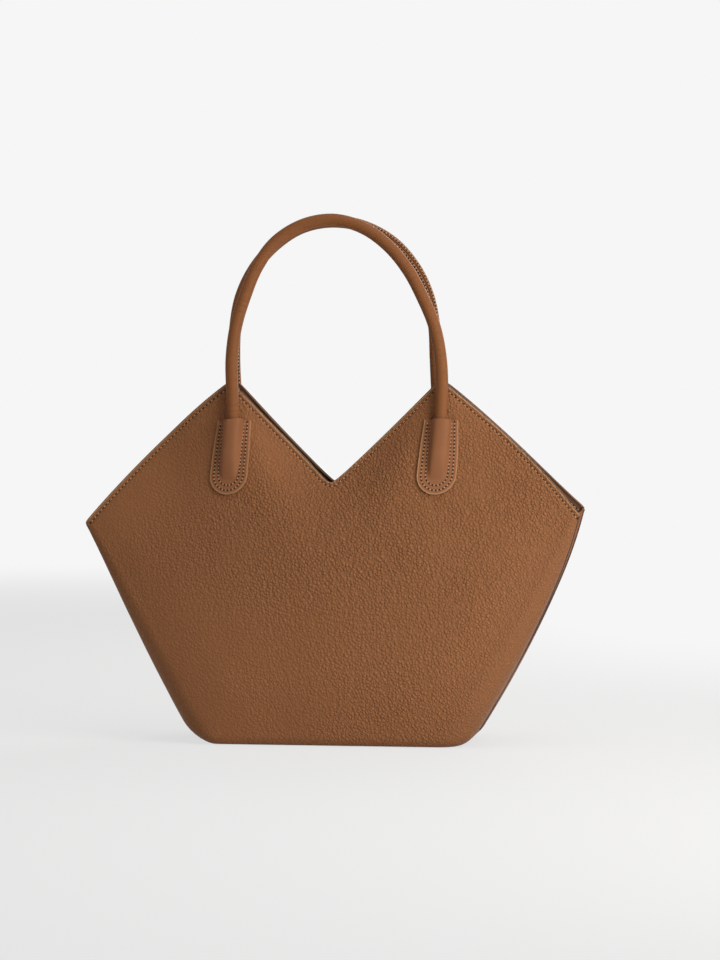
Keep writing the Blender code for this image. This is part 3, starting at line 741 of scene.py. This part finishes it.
def evenly(points, normals, pitch):
    """Places along a line one pitch apart, with the line's direction and the face's normal there."""
    steps = np.linalg.norm(np.diff(points, axis=0), axis=1)
    length = np.concatenate([[0], np.cumsum(steps)])
    count = int(length[-1] / pitch)
    stops = (np.arange(count) + 0.5) * length[-1] / count

    def at(table, where):
        return np.stack([np.interp(where, length, table[:, axis]) for axis in range(3)], -1)

    along = unit(at(points, stops + pitch / 4) - at(points, stops - pitch / 4))
    normal = at(normals, stops)
    normal -= along * np.einsum("ij,ij->i", along, normal)[:, None]
    return at(points, stops), along, unit(normal)


def sew(name, stitch, places, along, normals, *finishes):
    """A row of copies of one stitch, each turned to the line and the face."""
    vertices, faces, kinds = stitch
    across = np.cross(normals, along)
    turned = (
        vertices[None, :, :1] * along[:, None]
        + vertices[None, :, 1:2] * across[:, None]
        + vertices[None, :, 2:] * normals[:, None]
        + places[:, None]
    )
    count = len(places)
    mesh = bpy.data.meshes.new(name)
    mesh.from_pydata(
        turned.reshape(-1, 3).tolist(),
        [],
        [[k + n * len(vertices) for k in face] for n in range(count) for face in faces],
    )
    mesh.polygons.foreach_set("material_index", np.array(kinds * count, np.int32))
    mesh.shade_smooth()
    row = bpy.data.objects.new(name, mesh)
    bpy.context.collection.objects.link(row)
    return dress(row, *finishes)


thread = spun_thread("thread", THREAD_TAN)
# Painted shade for the needle holes.
hole_shades = needle_hole_shade("hole_shade_discs")
mouth_stitch = one_stitch(STITCH_LENGTH, STITCH_WIDTH, STITCH_HEIGHT, STITCH_PITCH)
line_s = np.linspace(*MOUTH_ROW, 900)
line_points, line_normals = panel_surface(line_s, level(line_s, stitch_drop(line_s)))

for wall in WALLS:
    outside = evenly(line_points, line_normals, STITCH_PITCH)
    inside = evenly(line_points - line_normals * WALL_THICKNESS, -line_normals, STITCH_PITCH)
    for face, line in (("outer", outside), ("inner", inside)):
        row = sew(f"{wall}_{face}_mouth_stitches", mouth_stitch, *line, thread, hole_shades)
        on_bag(stand(wall, row), f"{wall}_panel", False)

# ----------------------------------------
# Side strips. A narrow tapered strip of the same leather closes each side between the two panels. It
# folds inwards down its middle, so that the bag can close flat, and has a strip of twill behind it. A
# thin dark cord along each seam stands for the dark paint on the cut edges and for painted shade in the
# seam's groove.

GUSSET_FOLD, GUSSET_FOLD_SHARES, GUSSET_DIP = 0.008, (0.0, 0.35, 0.75, 1.0), 0.004
SEAM_CORD, SEAM_SINK, SEAM_SHADE_BROWN = 0.00085, 0.1, (0.045, 0.019, 0.010)


def strip_place(side, across, h):
    """A point of a side strip's outer face; across runs from seam to seam."""
    radius = float(on_side(side, BASE_END_RADIUS, BASE_END_RADIUS_SHIFT))
    shoulder = float(on_side(side, SHOULDER_HEIGHT, SHOULDER_SHIFT))
    foot = radius + (shoulder - FACING_WIDTH - radius) * STRIP_FOOT_LEVEL
    up = (h + 1) / 2
    z = foot + (shoulder - GUSSET_DIP * (1 - across * across) - foot) * up
    fold = GUSSET_FOLD * smooth(GUSSET_ROW_SHARES, GUSSET_FOLD_SHARES, up)
    fold = fold * np.sin((1 - np.abs(across)) * math.pi / 2) ** 2
    half_width = seam_half_depth(side, (foot + (shoulder - foot) * up) / shoulder) - GAP / 2
    x = side_half_width(side, z / shoulder) - fold
    return np.stack([x * side, across * side * half_width, z], -1)


def strip_layer(name, side, depth, thickness, rolled):
    """A layer of a side strip at a depth under its face."""
    edge = np.sin(np.linspace(-1, 1, 37) * math.pi / 2)
    across, h = np.meshgrid(edge, np.linspace(-1, 1, 61))

    def point(a, b):
        return strip_place(side, a, b)

    points, normals = point(across, h), face_normal(point, across, h)
    half = np.abs(points[:, -1, 1])[:, None]
    roll = np.minimum(SEAM_ROLL, 0.8 * half)
    near = np.clip(roll - (1 - np.abs(across)) * half, 0, roll * 0.98)
    inset = (roll - np.sqrt(roll**2 - near**2)) * rolled + depth
    return stand("front", thicken(lay_grid(name, points - normals * inset[..., None]), thickness))


# A dark cord along each side seam: partly the dark paint on the cut edges, partly painted shade that stands
# for the shadow in the seam's groove.
seam_paint_and_shade = Finish("seam_paint_and_shade", Roughness=0.7)
seam_wear = seam_paint_and_shade.noise(seam_paint_and_shade.place(), 600.0)
seam_paint_and_shade.paint(seam_wear, shaded(SEAM_SHADE_BROWN, 0.6), shaded(SEAM_SHADE_BROWN, 1.6))
seam_paint_and_shade.relief(seam_wear, 0.0001)

for side, word in ((-1, "left"), (1, "right")):
    strip = dress(strip_layer(f"{word}_side_strip", side, 0.0, LEATHER, 1.0), body_leather)
    on_bag(strip, f"{word}_gusset")
    cloth = dress(strip_layer(f"{word}_strip_lining", side, LEATHER + GAP, LINING, 0.0), lining_twill)
    on_bag(cloth, f"{word}_gusset_lining")

    path_h = np.linspace(0.0, 0.995, 160)
    for wall in WALLS:
        path = panel_point(np.full(len(path_h), float(side)), path_h)
        path_out = face_normal(panel_point, np.full(len(path_h), side * 0.999), path_h)
        path_side = np.cross(unit(np.gradient(path, axis=0)), path_out)
        ring = np.linspace(0, 2 * math.pi, 8, endpoint=False)
        rings = path[:, None] + SEAM_CORD * (
            np.cos(ring)[None, :, None] * path_side[:, None]
            + (np.sin(ring) - SEAM_SINK)[None, :, None] * path_out[:, None]
        )
        cord = dress(stand(wall, lay_tube(f"{wall}_{word}_seam_edge_shade", rings)), seam_paint_and_shade)
        shade(cord, 60)
        on_bag(cord, f"{wall}_panel", False)

# ----------------------------------------
# Base. A flat piece of the leather is set in between the turned-under edges of the panels, with a board
# on it that keeps the base flat and a piece of the twill over the board as the floor of the bag.

BASE_BOARD = 0.0018
base_front = panel_point(panel_columns(), np.full(len(panel_columns()), -1.0))
base_rim = np.concatenate([base_front, (base_front * (1, -1, 1))[::-1]])
base_rim = base_rim[np.linalg.norm(base_rim - np.roll(base_rim, 1, 0), axis=1) > 1e-5]


def base_slab(name, bottom, thickness, inset):
    """A flat layer of the base: the rim and smaller rings inside it, thickened upwards."""
    middle = base_rim.mean(0)
    reach = np.linalg.norm(base_rim - middle, axis=1, keepdims=True)
    rings = [middle + (base_rim - middle) * (1 - inset / reach) * share for share in np.linspace(1, 0.02, 14)]
    rings = np.array(rings)
    rings[..., 2] = bottom
    piece = lay_grid(name, np.concatenate([rings, rings[:, :1]], 1))
    weld(False)
    if piece.data.polygons[0].normal.z > 0:
        piece.data.flip_normals()
    return thicken(piece, thickness)


base_leather = dress(base_slab("base_leather", 0.0, LEATHER, GAP), body_leather)
on_bag(base_leather, "base_panel")
floor_cloth = dress(base_slab("base_cloth", LEATHER + BASE_BOARD + 2 * GAP, LINING, GAP), lining_twill)
on_bag(floor_cloth, "base_lining")
dress(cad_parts["base_board"], stiff_board)

# ----------------------------------------
# Tabs. Four patches of thicker, smoother leather with round feet hold the ends of the handles. Each is
# moulded over the handle's end, its cut edge is painted tan, and two rows of stitches go round it.

TAB_TOP_HEIGHT, TAB_LENGTH, TAB_LEAN = 0.270, 0.0625, 0.0046
TAB_TOP_WIDTH, TAB_WIDTH = 0.0275, 0.0325
TAB_GAP, TAB_LEATHER, TAB_ROW_START = 0.0006, 0.0016, 0.0016
TAB_STRAIGHT = TAB_LENGTH - TAB_WIDTH / 2
TAB_CENTRE = TAB_TOP_HEIGHT - TAB_STRAIGHT
CHANNEL_CLEARANCE, CHANNEL_LENGTH_SHARE, CHANNEL_ROUNDNESS = 0.0010, 0.80, 0.75
ROOT_END_DEPTH_SHARE = 0.62
HANDLE_RADIUS, HANDLE_HALF_SPAN, HANDLE_RISE = 0.00525, 0.090, 0.170
ROUTE_ENDS = {"front": (-0.910, 1.045), "back": (-0.994, 0.961)}
TAB_STITCH = (0.0016, 0.0010, 0.0009, 0.0031)
TAB_ROW_DROPS = ((0.0, 0.5, 1.0), (0.0030, 0.0033, 0.0035), (0.0053, 0.0067, 0.0077))
TAB_BROWN, TAB_RIM = (0.250, 0.100, 0.043), (0.36, 0.180, 0.082)


def face_depth(x, z):
    """Distance of the front panel's face from the middle plane, over a place in the front view."""
    low, high = np.zeros(np.shape(x)), np.ones(np.shape(x))
    for _ in range(26):
        middle = (low + high) / 2
        t = z / panel_top(np.copysign(middle * CORNER_SHARE, x))
        short = middle * (side_half_width(x, t) - corner_radius(t)) < np.abs(x)
        low, high = np.where(short, middle, low), np.where(short, high, middle)
    return half_depth(low, z)


def face_at(x, z):
    """The front panel's face over a place in the front view, and its outward normal."""
    x, z = np.asarray(x, float), np.asarray(z, float)
    step = NUDGE * PEAK_HEIGHT
    slope_x = (face_depth(x + step, z) - face_depth(x - step, z)) / (2 * step)
    slope_z = (face_depth(x, z + step) - face_depth(x, z - step)) / (2 * step)
    normal = np.stack([-slope_x, -np.ones_like(x), -slope_z], -1)
    return np.stack([x, -face_depth(x, z), z], -1), unit(normal)


def tab_middle(wall, side, z):
    """Middle of a tab at a height: both of a handle's tabs lean a little to the left, going down."""
    top = HANDLE_HALF_SPAN * ROUTE_ENDS[wall][0 if side < 0 else 1]
    return top - TAB_LEAN * (TAB_TOP_HEIGHT - z) / TAB_LENGTH


def tab_half_width(z):
    """Half the width of a tab's straight part at a height."""
    spread = np.sin(clamp((TAB_TOP_HEIGHT - z) / TAB_STRAIGHT) * math.pi / 2)
    return (TAB_TOP_WIDTH + (TAB_WIDTH - TAB_TOP_WIDTH) * spread) / 2


def channel_rise(offset, z):
    """How far the channel stands over the flanges, at a distance from the middle line and a height."""
    along = (TAB_TOP_HEIGHT - z) / (TAB_LENGTH * CHANNEL_LENGTH_SHARE)
    root = 2 * HANDLE_RADIUS * (1 - (1 - ROOT_END_DEPTH_SHARE) * clamp(2 * along))
    fade = np.cos(clamp(2 * along - 1) * math.pi / 2)
    reach = (HANDLE_RADIUS + CHANNEL_CLEARANCE + TAB_LEATHER) * np.clip(1.05 - 0.35 * along**6, 0.1, 1)
    power = 2 / CHANNEL_ROUNDNESS
    arch = clamp(1 - (np.abs(offset) / reach) ** power) ** (1 / power)
    return (root + CHANNEL_CLEARANCE) * fade * arch


def tab_place(across, down):
    """Distance from a tab's middle line, and height: across runs from edge to edge, down to its round foot."""
    out = np.sin(across * math.pi / 2)
    z = TAB_TOP_HEIGHT - (TAB_STRAIGHT + TAB_WIDTH / 2 * np.sqrt(clamp(1 - out * out))) * down
    return out * tab_half_width(z), z


def tab_inset(across, down):
    """Distance of a place on a tab from its side edge or its round foot."""
    offset, z = tab_place(across, down)
    foot = TAB_WIDTH / 2 - np.hypot(offset, z - TAB_CENTRE)
    return np.where(z > TAB_CENTRE, tab_half_width(z) - np.abs(offset), foot)


def tab_surface(wall, side, across, down):
    """A tab's outer face and the normals under it."""
    offset, z = tab_place(across, down)
    face, normal = face_at(tab_middle(wall, side, z) + offset, z)
    rise = channel_rise(offset, z)
    for _ in range(3):
        rise[:, 1:-1] = (rise[:, :-2] + 2 * rise[:, 1:-1] + rise[:, 2:]) / 4
    return face + normal * (TAB_GAP + TAB_LEATHER + rise)[..., None], normal


def tab_row(wall, side, drops):
    """A line round a tab at a distance from its edge, from one end of its top to the other."""
    legs = np.linspace(TAB_TOP_HEIGHT - TAB_ROW_START, TAB_CENTRE, 60)
    leg_drop = smooth(TAB_ROW_DROPS[0], drops, (TAB_TOP_HEIGHT - legs) / TAB_LENGTH)
    angle = np.linspace(0, math.pi, 60)[1:-1]
    turn_z = TAB_CENTRE - (TAB_WIDTH / 2) * np.sin(angle)
    turn_drop = smooth(TAB_ROW_DROPS[0], drops, (TAB_TOP_HEIGHT - turn_z) / TAB_LENGTH)
    turn_x = -(TAB_WIDTH / 2 - turn_drop) * np.cos(angle)
    turn_z = TAB_CENTRE - (TAB_WIDTH / 2 - turn_drop) * np.sin(angle)
    left = -(tab_half_width(legs) - leg_drop)
    offset = np.concatenate([left, turn_x, -left[::-1]])
    z = np.concatenate([legs, turn_z, legs[::-1]])
    face, normal = face_at(tab_middle(wall, side, z) + offset, z)
    return face + normal * (TAB_GAP + TAB_LEATHER + channel_rise(offset, z) * 0.6)[..., None], normal


tab_leather = pebbled_leather("tab_leather", TAB_BROWN, 0.0012, 0.00006, 0.22, TAB_RIM)
tab_rim = Finish("tab_rim", Roughness=0.45)
tab_wear = tab_rim.noise(tab_rim.place(), 420.0)
tab_rim.paint(tab_wear, shaded(TAB_RIM, 0.8), shaded(TAB_RIM, 1.15))
tab_rim.relief(tab_wear, 0.0001)
tab_stitch = one_stitch(*TAB_STITCH)

for wall in WALLS:
    for side, word in ((-1, "left"), (1, "right")):
        across, down = np.meshgrid(np.linspace(-1, 1, 77), np.sin(np.linspace(1, 0, 73) * math.pi / 2))
        surface = tab_surface(wall, side, across, down)[0]
        painted = clamp(1 - tab_inset(across, down) / PAINT_REACH)
        tab = lay_grid(f"{wall}_{word}_leather_tab", surface, paint=painted)
        dress(tab, tab_leather, tab_rim)
        rim = {"use_even_offset": True, "material_offset_rim": 1}
        apply_modifier(tab, "SOLIDIFY", thickness=TAB_LEATHER, offset=-1, **rim)
        edges = {"limit_method": "ANGLE", "angle_limit": math.radians(50), "material": 1}
        apply_modifier(tab, "BEVEL", width=0.0008, segments=3, **edges)
        shade(tab, 60)
        on_bag(stand(wall, tab), f"{wall}_{word}_tab")
        for place, drops in zip(("outer", "inner"), TAB_ROW_DROPS[1:]):
            line = evenly(*tab_row(wall, side, drops), TAB_STITCH[3])
            row = sew(f"{wall}_{word}_tab_{place}_stitches", tab_stitch, *line, thread, hole_shades)
            on_bag(stand(wall, row), f"{wall}_{word}_tab", False)

# ----------------------------------------
# Handles. Each is a cotton cord with a strip of smooth leather rolled round it and sewn together along the
# side that faces the middle of the bag, turned a little to the right. Its soft ends run down into the tabs.

HANDLE_TOP_OFFSET, HANDLE_LEAN_POWER = 0.007, 1.7
ROUTE_SHARES = {
    "front": (
        (-0.910, 0.0), (-0.922, 0.155), (-0.930, 0.310), (-0.898, 0.465), (-0.820, 0.616), (-0.714, 0.762),
        (-0.546, 0.890), (-0.292, 0.975), (0.0, 1.0), (0.287, 0.957), (0.530, 0.864), (0.722, 0.742),
        (0.865, 0.604), (0.980, 0.461), (1.040, 0.310), (1.058, 0.155), (1.045, 0.0),
    ),
    "back": (
        (-0.994, 0.0), (-1.012, 0.158), (-1.021, 0.317), (-1.005, 0.475), (-0.942, 0.630), (-0.804, 0.770),
        (-0.600, 0.886), (-0.341, 0.970), (-0.047, 1.0), (0.255, 0.975), (0.532, 0.896), (0.735, 0.775),
        (0.862, 0.632), (0.918, 0.475), (0.928, 0.317), (0.939, 0.158), (0.961, 0.0),
    ),
}
HANDLE_STATIONS, ROOT_STATIONS = 190, 9
WELT_RISE, WELT_SPREAD, WELT_GROOVE, SEAM_TWIST = 0.0004, 0.62, 0.0007, 0.55
WELT_ANGLES = (0.0, 0.05, 0.1, 0.16, 0.24, 0.34, 0.46, 0.6, 0.76, 0.96)
WELT_REACH, ROW_TURN = 1.2, 0.33
HANDLE_STITCH = (0.0017, 0.0009, 0.0008, 0.0030)
HANDLE_BROWN, CORD_WHITE = (0.225, 0.083, 0.0285), (0.45, 0.42, 0.37)


def handle_line(wall):
    """Centre line of a handle from tab to tab, with its directions and its depth inside the tabs."""
    route = np.array(ROUTE_SHARES[wall])
    last = len(route) - 1
    feet = []
    for side in (-1, 1):
        face, normal = face_at(tab_middle(wall, side, TAB_TOP_HEIGHT), TAB_TOP_HEIGHT)
        feet.append(face + normal * (TAB_GAP + HANDLE_RADIUS))
    k = np.linspace(0, last, HANDLE_STATIONS)
    foot = feet[0] + (feet[1] - feet[0]) * (k / last)[:, None]
    across, rise = smooth(range(last + 1), route[:, 0], k), smooth(range(last + 1), route[:, 1], k)
    lean = 1 - np.clip(rise, 0, None) ** HANDLE_LEAN_POWER
    y = -HANDLE_TOP_OFFSET + (foot[:, 1] + HANDLE_TOP_OFFSET) * lean
    line = np.stack([HANDLE_HALF_SPAN * across, y, foot[:, 2] + HANDLE_RISE * rise], -1)
    depths = [np.full(len(line), HANDLE_RADIUS)]
    lines = [line]
    bottom = TAB_TOP_HEIGHT - TAB_LENGTH * CHANNEL_LENGTH_SHARE / 2
    for side in (-1, 1):
        inside = np.linspace(1, 0, ROOT_STATIONS)[:-1]
        z = TAB_TOP_HEIGHT - (TAB_TOP_HEIGHT - bottom) * inside
        depth = HANDLE_RADIUS * (1 - (1 - ROOT_END_DEPTH_SHARE) * inside)
        face, normal = face_at(tab_middle(wall, side, z), z)
        root = face + normal * (TAB_GAP + depth)[:, None]
        order = slice(None) if side < 0 else slice(None, None, -1)
        lines.insert(0 if side < 0 else 2, root[order])
        depths.insert(0 if side < 0 else 2, depth[order])
    line, depth = np.concatenate(lines), np.concatenate(depths)
    return line, unit(np.gradient(line, axis=0)), depth


def tube_frame(direction):
    """Directions outwards from the bag and towards the inside of the arch, across a line."""
    forward = np.array((0.0, -1.0, 0.0))
    outward = unit(forward - direction * (direction @ forward)[:, None])
    return outward, np.cross(direction, outward)


def rolled_leather(name, colour):
    """Smooth rolled leather: a fine grain, faint rings where the roll bends with painted shade in them, and
    painted shade in the groove along the seam.
    """
    finish = Finish(name, Roughness=0.5, Specular_IOR_Level=0.12)
    along = finish.mark("along")
    seam = finish.mark("seam")
    grain = finish.noise(finish.place(), 900.0, 3.0)
    patches = finish.noise(finish.place(), 26.0, 2.0)
    bends = {"W": along * 420.0, "Scale": 1.0, "Detail": 2.0}
    rings = finish.node("TexNoise", {"noise_dimensions": "1D"}, bends, "Fac")
    rings = rings.step(0.42, 0.70) * patches.step(0.40, 0.62)
    finish.relief(grain * 0.35 - rings * 0.5, 0.00025)
    base = finish.mix(patches, shaded(colour, 0.92), shaded(colour, 1.10))
    # Darker over the grain and in the bend rings: the grain's own colour, and painted shade in the rings.
    base = finish.mix(0.25 * grain + 0.18 * rings, base, shaded(colour, 0.55))
    # Painted shade: the groove along the seam is painted nearly black.
    finish.paint(seam.step(0.35, 0.9), base, shaded(colour, 0.16))
    finish.set(Roughness=0.46 + 0.2 * grain)
    return finish


handle_leather = rolled_leather("handle_leather", HANDLE_BROWN)
cotton_cord = fibre_board("cotton_cord", CORD_WHITE)
handle_stitch = one_stitch(*HANDLE_STITCH)
welt = np.array(WELT_ANGLES)
rest = np.linspace(-math.pi / 2 + WELT_REACH, 1.5 * math.pi - WELT_REACH, 19)
around = np.concatenate([-math.pi / 2 + welt, rest, 1.5 * math.pi - welt[:0:-1]])
from_seam = np.minimum(around + math.pi / 2, 1.5 * math.pi - around)
welt_height = WELT_RISE * clamp(1 - (from_seam / WELT_SPREAD) ** 4)
welt_height = welt_height - WELT_GROOVE * np.exp(-((from_seam / 0.06) ** 2))

for wall in WALLS:
    line, direction, depth = handle_line(wall)
    outward, sideways = tube_frame(direction)
    twist = SEAM_TWIST * sideways[:, 0]
    turned = around[None] + twist[:, None]
    radial = (
        sideways[:, None] * (np.cos(turned) * (HANDLE_RADIUS + welt_height))[..., None]
        + outward[:, None] * (np.sin(turned) * (depth[:, None] + welt_height[None]))[..., None]
    )
    run = np.concatenate([[0], np.cumsum(np.linalg.norm(np.diff(line, axis=0), axis=1))])
    # The seam mark lays the painted shade of the seam's groove.
    groove = np.exp(-((from_seam / 0.07) ** 2))
    tube = lay_tube(f"{wall}_rolled_handle", line[:, None] + radial, along=run[:, None], seam=groove)
    shade(tube, 60)
    dress(stand(wall, tube), handle_leather)
    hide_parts(f"{wall}_handle_cover", f"{wall}_left_root", f"{wall}_right_root")
    shown = slice(ROOT_STATIONS, -ROOT_STATIONS)
    sewn = [tube]
    for row_name, seam_angle in (("inner", -math.pi / 2 + ROW_TURN), ("outer", -math.pi / 2 - ROW_TURN)):
        seam_turn = (seam_angle + twist)[:, None]
        seam_normal = sideways * np.cos(seam_turn) + outward * np.sin(seam_turn)
        lift = seam_normal * (HANDLE_RADIUS + WELT_RISE)
        places = evenly((line + lift)[shown], seam_normal[shown], HANDLE_STITCH[3])
        row = sew(f"{wall}_handle_{row_name}_stitches", handle_stitch, *places, thread, hole_shades)
        stand(wall, row)
        sewn.append(row)
    for piece in sewn:
        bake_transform(piece)
    dress(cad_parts[f"{wall}_handle_core"], cotton_cord)

# ----------------------------------------
# Studio. The bag stands on a wide sheet of white paper that fades into a pale room, with a soft light close
# by on the right, a weak one over it and another behind it.

FLOOR_REACH, PAPER_DROP, PAPER_GREY, GLOW_SHARE = 5.0, 0.0002, 0.80, 0.82
NEAR_TONES, FADE_RAMP, ROUND_RAMP = (0.82, 0.84), (0.35, 2.6), (1.5, 4.8)
CAMERA_DISTANCE, CAMERA_HEIGHT, CAMERA_SHIFT, CAMERA_TURN = 2.2, 0.220, 0.0217, 8.5
LENS, FILM, LIGHT_AIM = 129.4, 36.0, (0.0, 0.0, 0.15)
ROOM_WHITE, ROOM_LIGHT, ROOM_POWER = (0.92, 0.92, 0.92), (1.0, 0.985, 0.955), 0.23

deselect()
below = (0, 0, -PAPER_DROP)
bpy.ops.mesh.primitive_grid_add(x_subdivisions=20, y_subdivisions=20, size=2 * FLOOR_REACH, location=below)
paper = bpy.context.object
paper.name = paper.data.name = "paper_floor"
paper_colour = shaded(FULL, PAPER_GREY)
paper_finish = Finish("white_paper", Roughness=0.9, Specular_IOR_Level=0.1, Base_Color=paper_colour)
floor_x, floor_y = paper_finish.axis("X"), paper_finish.axis("Y")
# Painted shade: the near floor glows a little darker on the left and fades into the room later there, as
# though the light fell from the right.
right_side_lit_share = floor_x.step(-0.5, 0.5)
away = (floor_x * floor_x + floor_y * floor_y) ** 0.5
behind = floor_y.maths("MAXIMUM", floor_y, away * 0.35) * (0.5 + 1.5 * right_side_lit_share)
far = away.maths("MAXIMUM", behind.step(*FADE_RAMP), away.step(*ROUND_RAMP))
near_tone = paper_finish.mix(right_side_lit_share, *(shaded(FULL, tone) for tone in NEAR_TONES))
tone = paper_finish.mix(far, near_tone, shaded(ROOM_WHITE, 1.0))
glow = paper_finish.node("Emission", {}, {"Color": tone, "Strength": 1.0})
lit = Signal(paper_finish, paper_finish.shader.outputs[0])
paper_finish.glow("Material Output", GLOW_SHARE + (1 - GLOW_SHARE) * far, lit, glow)
dress(paper, paper_finish)


def soft_light(name, place, size, power, colour):
    """A square soft light aimed at the middle of the bag."""
    deselect()
    turn = (Vector(LIGHT_AIM) - Vector(place)).to_track_quat("-Z", "Y").to_euler()
    bpy.ops.object.light_add(type="AREA", location=place, rotation=turn)
    lamp = bpy.context.object
    lamp.name = name
    lamp.data.size, lamp.data.energy, lamp.data.color = size, power, colour
    lamp.visible_camera = False


soft_light("window_light", (0.84, -0.62, 0.46), 0.7, 9.3, (1.0, 0.985, 0.945))
soft_light("top_light", (0.2, -0.3, 1.6), 1.2, 8.5, (1.0, 0.985, 0.95))
soft_light("back_light", (0.5, 1.4, 1.0), 1.0, 14.0, (1.0, 0.985, 0.95))

world = bpy.data.worlds.new("studio")
bpy.context.scene.world = world
room = Nodes(world)
room_light = room.tree.nodes["Background"]
room.connect(room_light, {"Color": shaded(ROOM_LIGHT, 1.0), "Strength": ROOM_POWER})
pale = room.node("Background", {}, {"Color": shaded(ROOM_WHITE, 1.0)})
room.glow("World Output", 1.0, Signal(room, room_light.outputs[0]), pale)

angle = math.radians(CAMERA_TURN)
toward = Vector((-math.sin(angle), math.cos(angle), 0.0))
to_right = Vector((math.cos(angle), math.sin(angle), 0.0))
eye = -toward * CAMERA_DISTANCE + to_right * CAMERA_SHIFT + Vector((0, 0, CAMERA_HEIGHT))
bpy.ops.object.camera_add(location=eye, rotation=toward.to_track_quat("-Z", "Y").to_euler())
camera = bpy.context.object
camera.name = "photo_camera"
camera.data.sensor_fit, camera.data.sensor_width, camera.data.lens = "HORIZONTAL", FILM, LENS
camera.data.clip_start, camera.data.clip_end = 0.05, 20.0
bpy.context.scene.camera = camera
bpy.context.scene.view_settings.view_transform = "Standard"


def plain(box):
    return [[float(value) for value in corner] for corner in box]
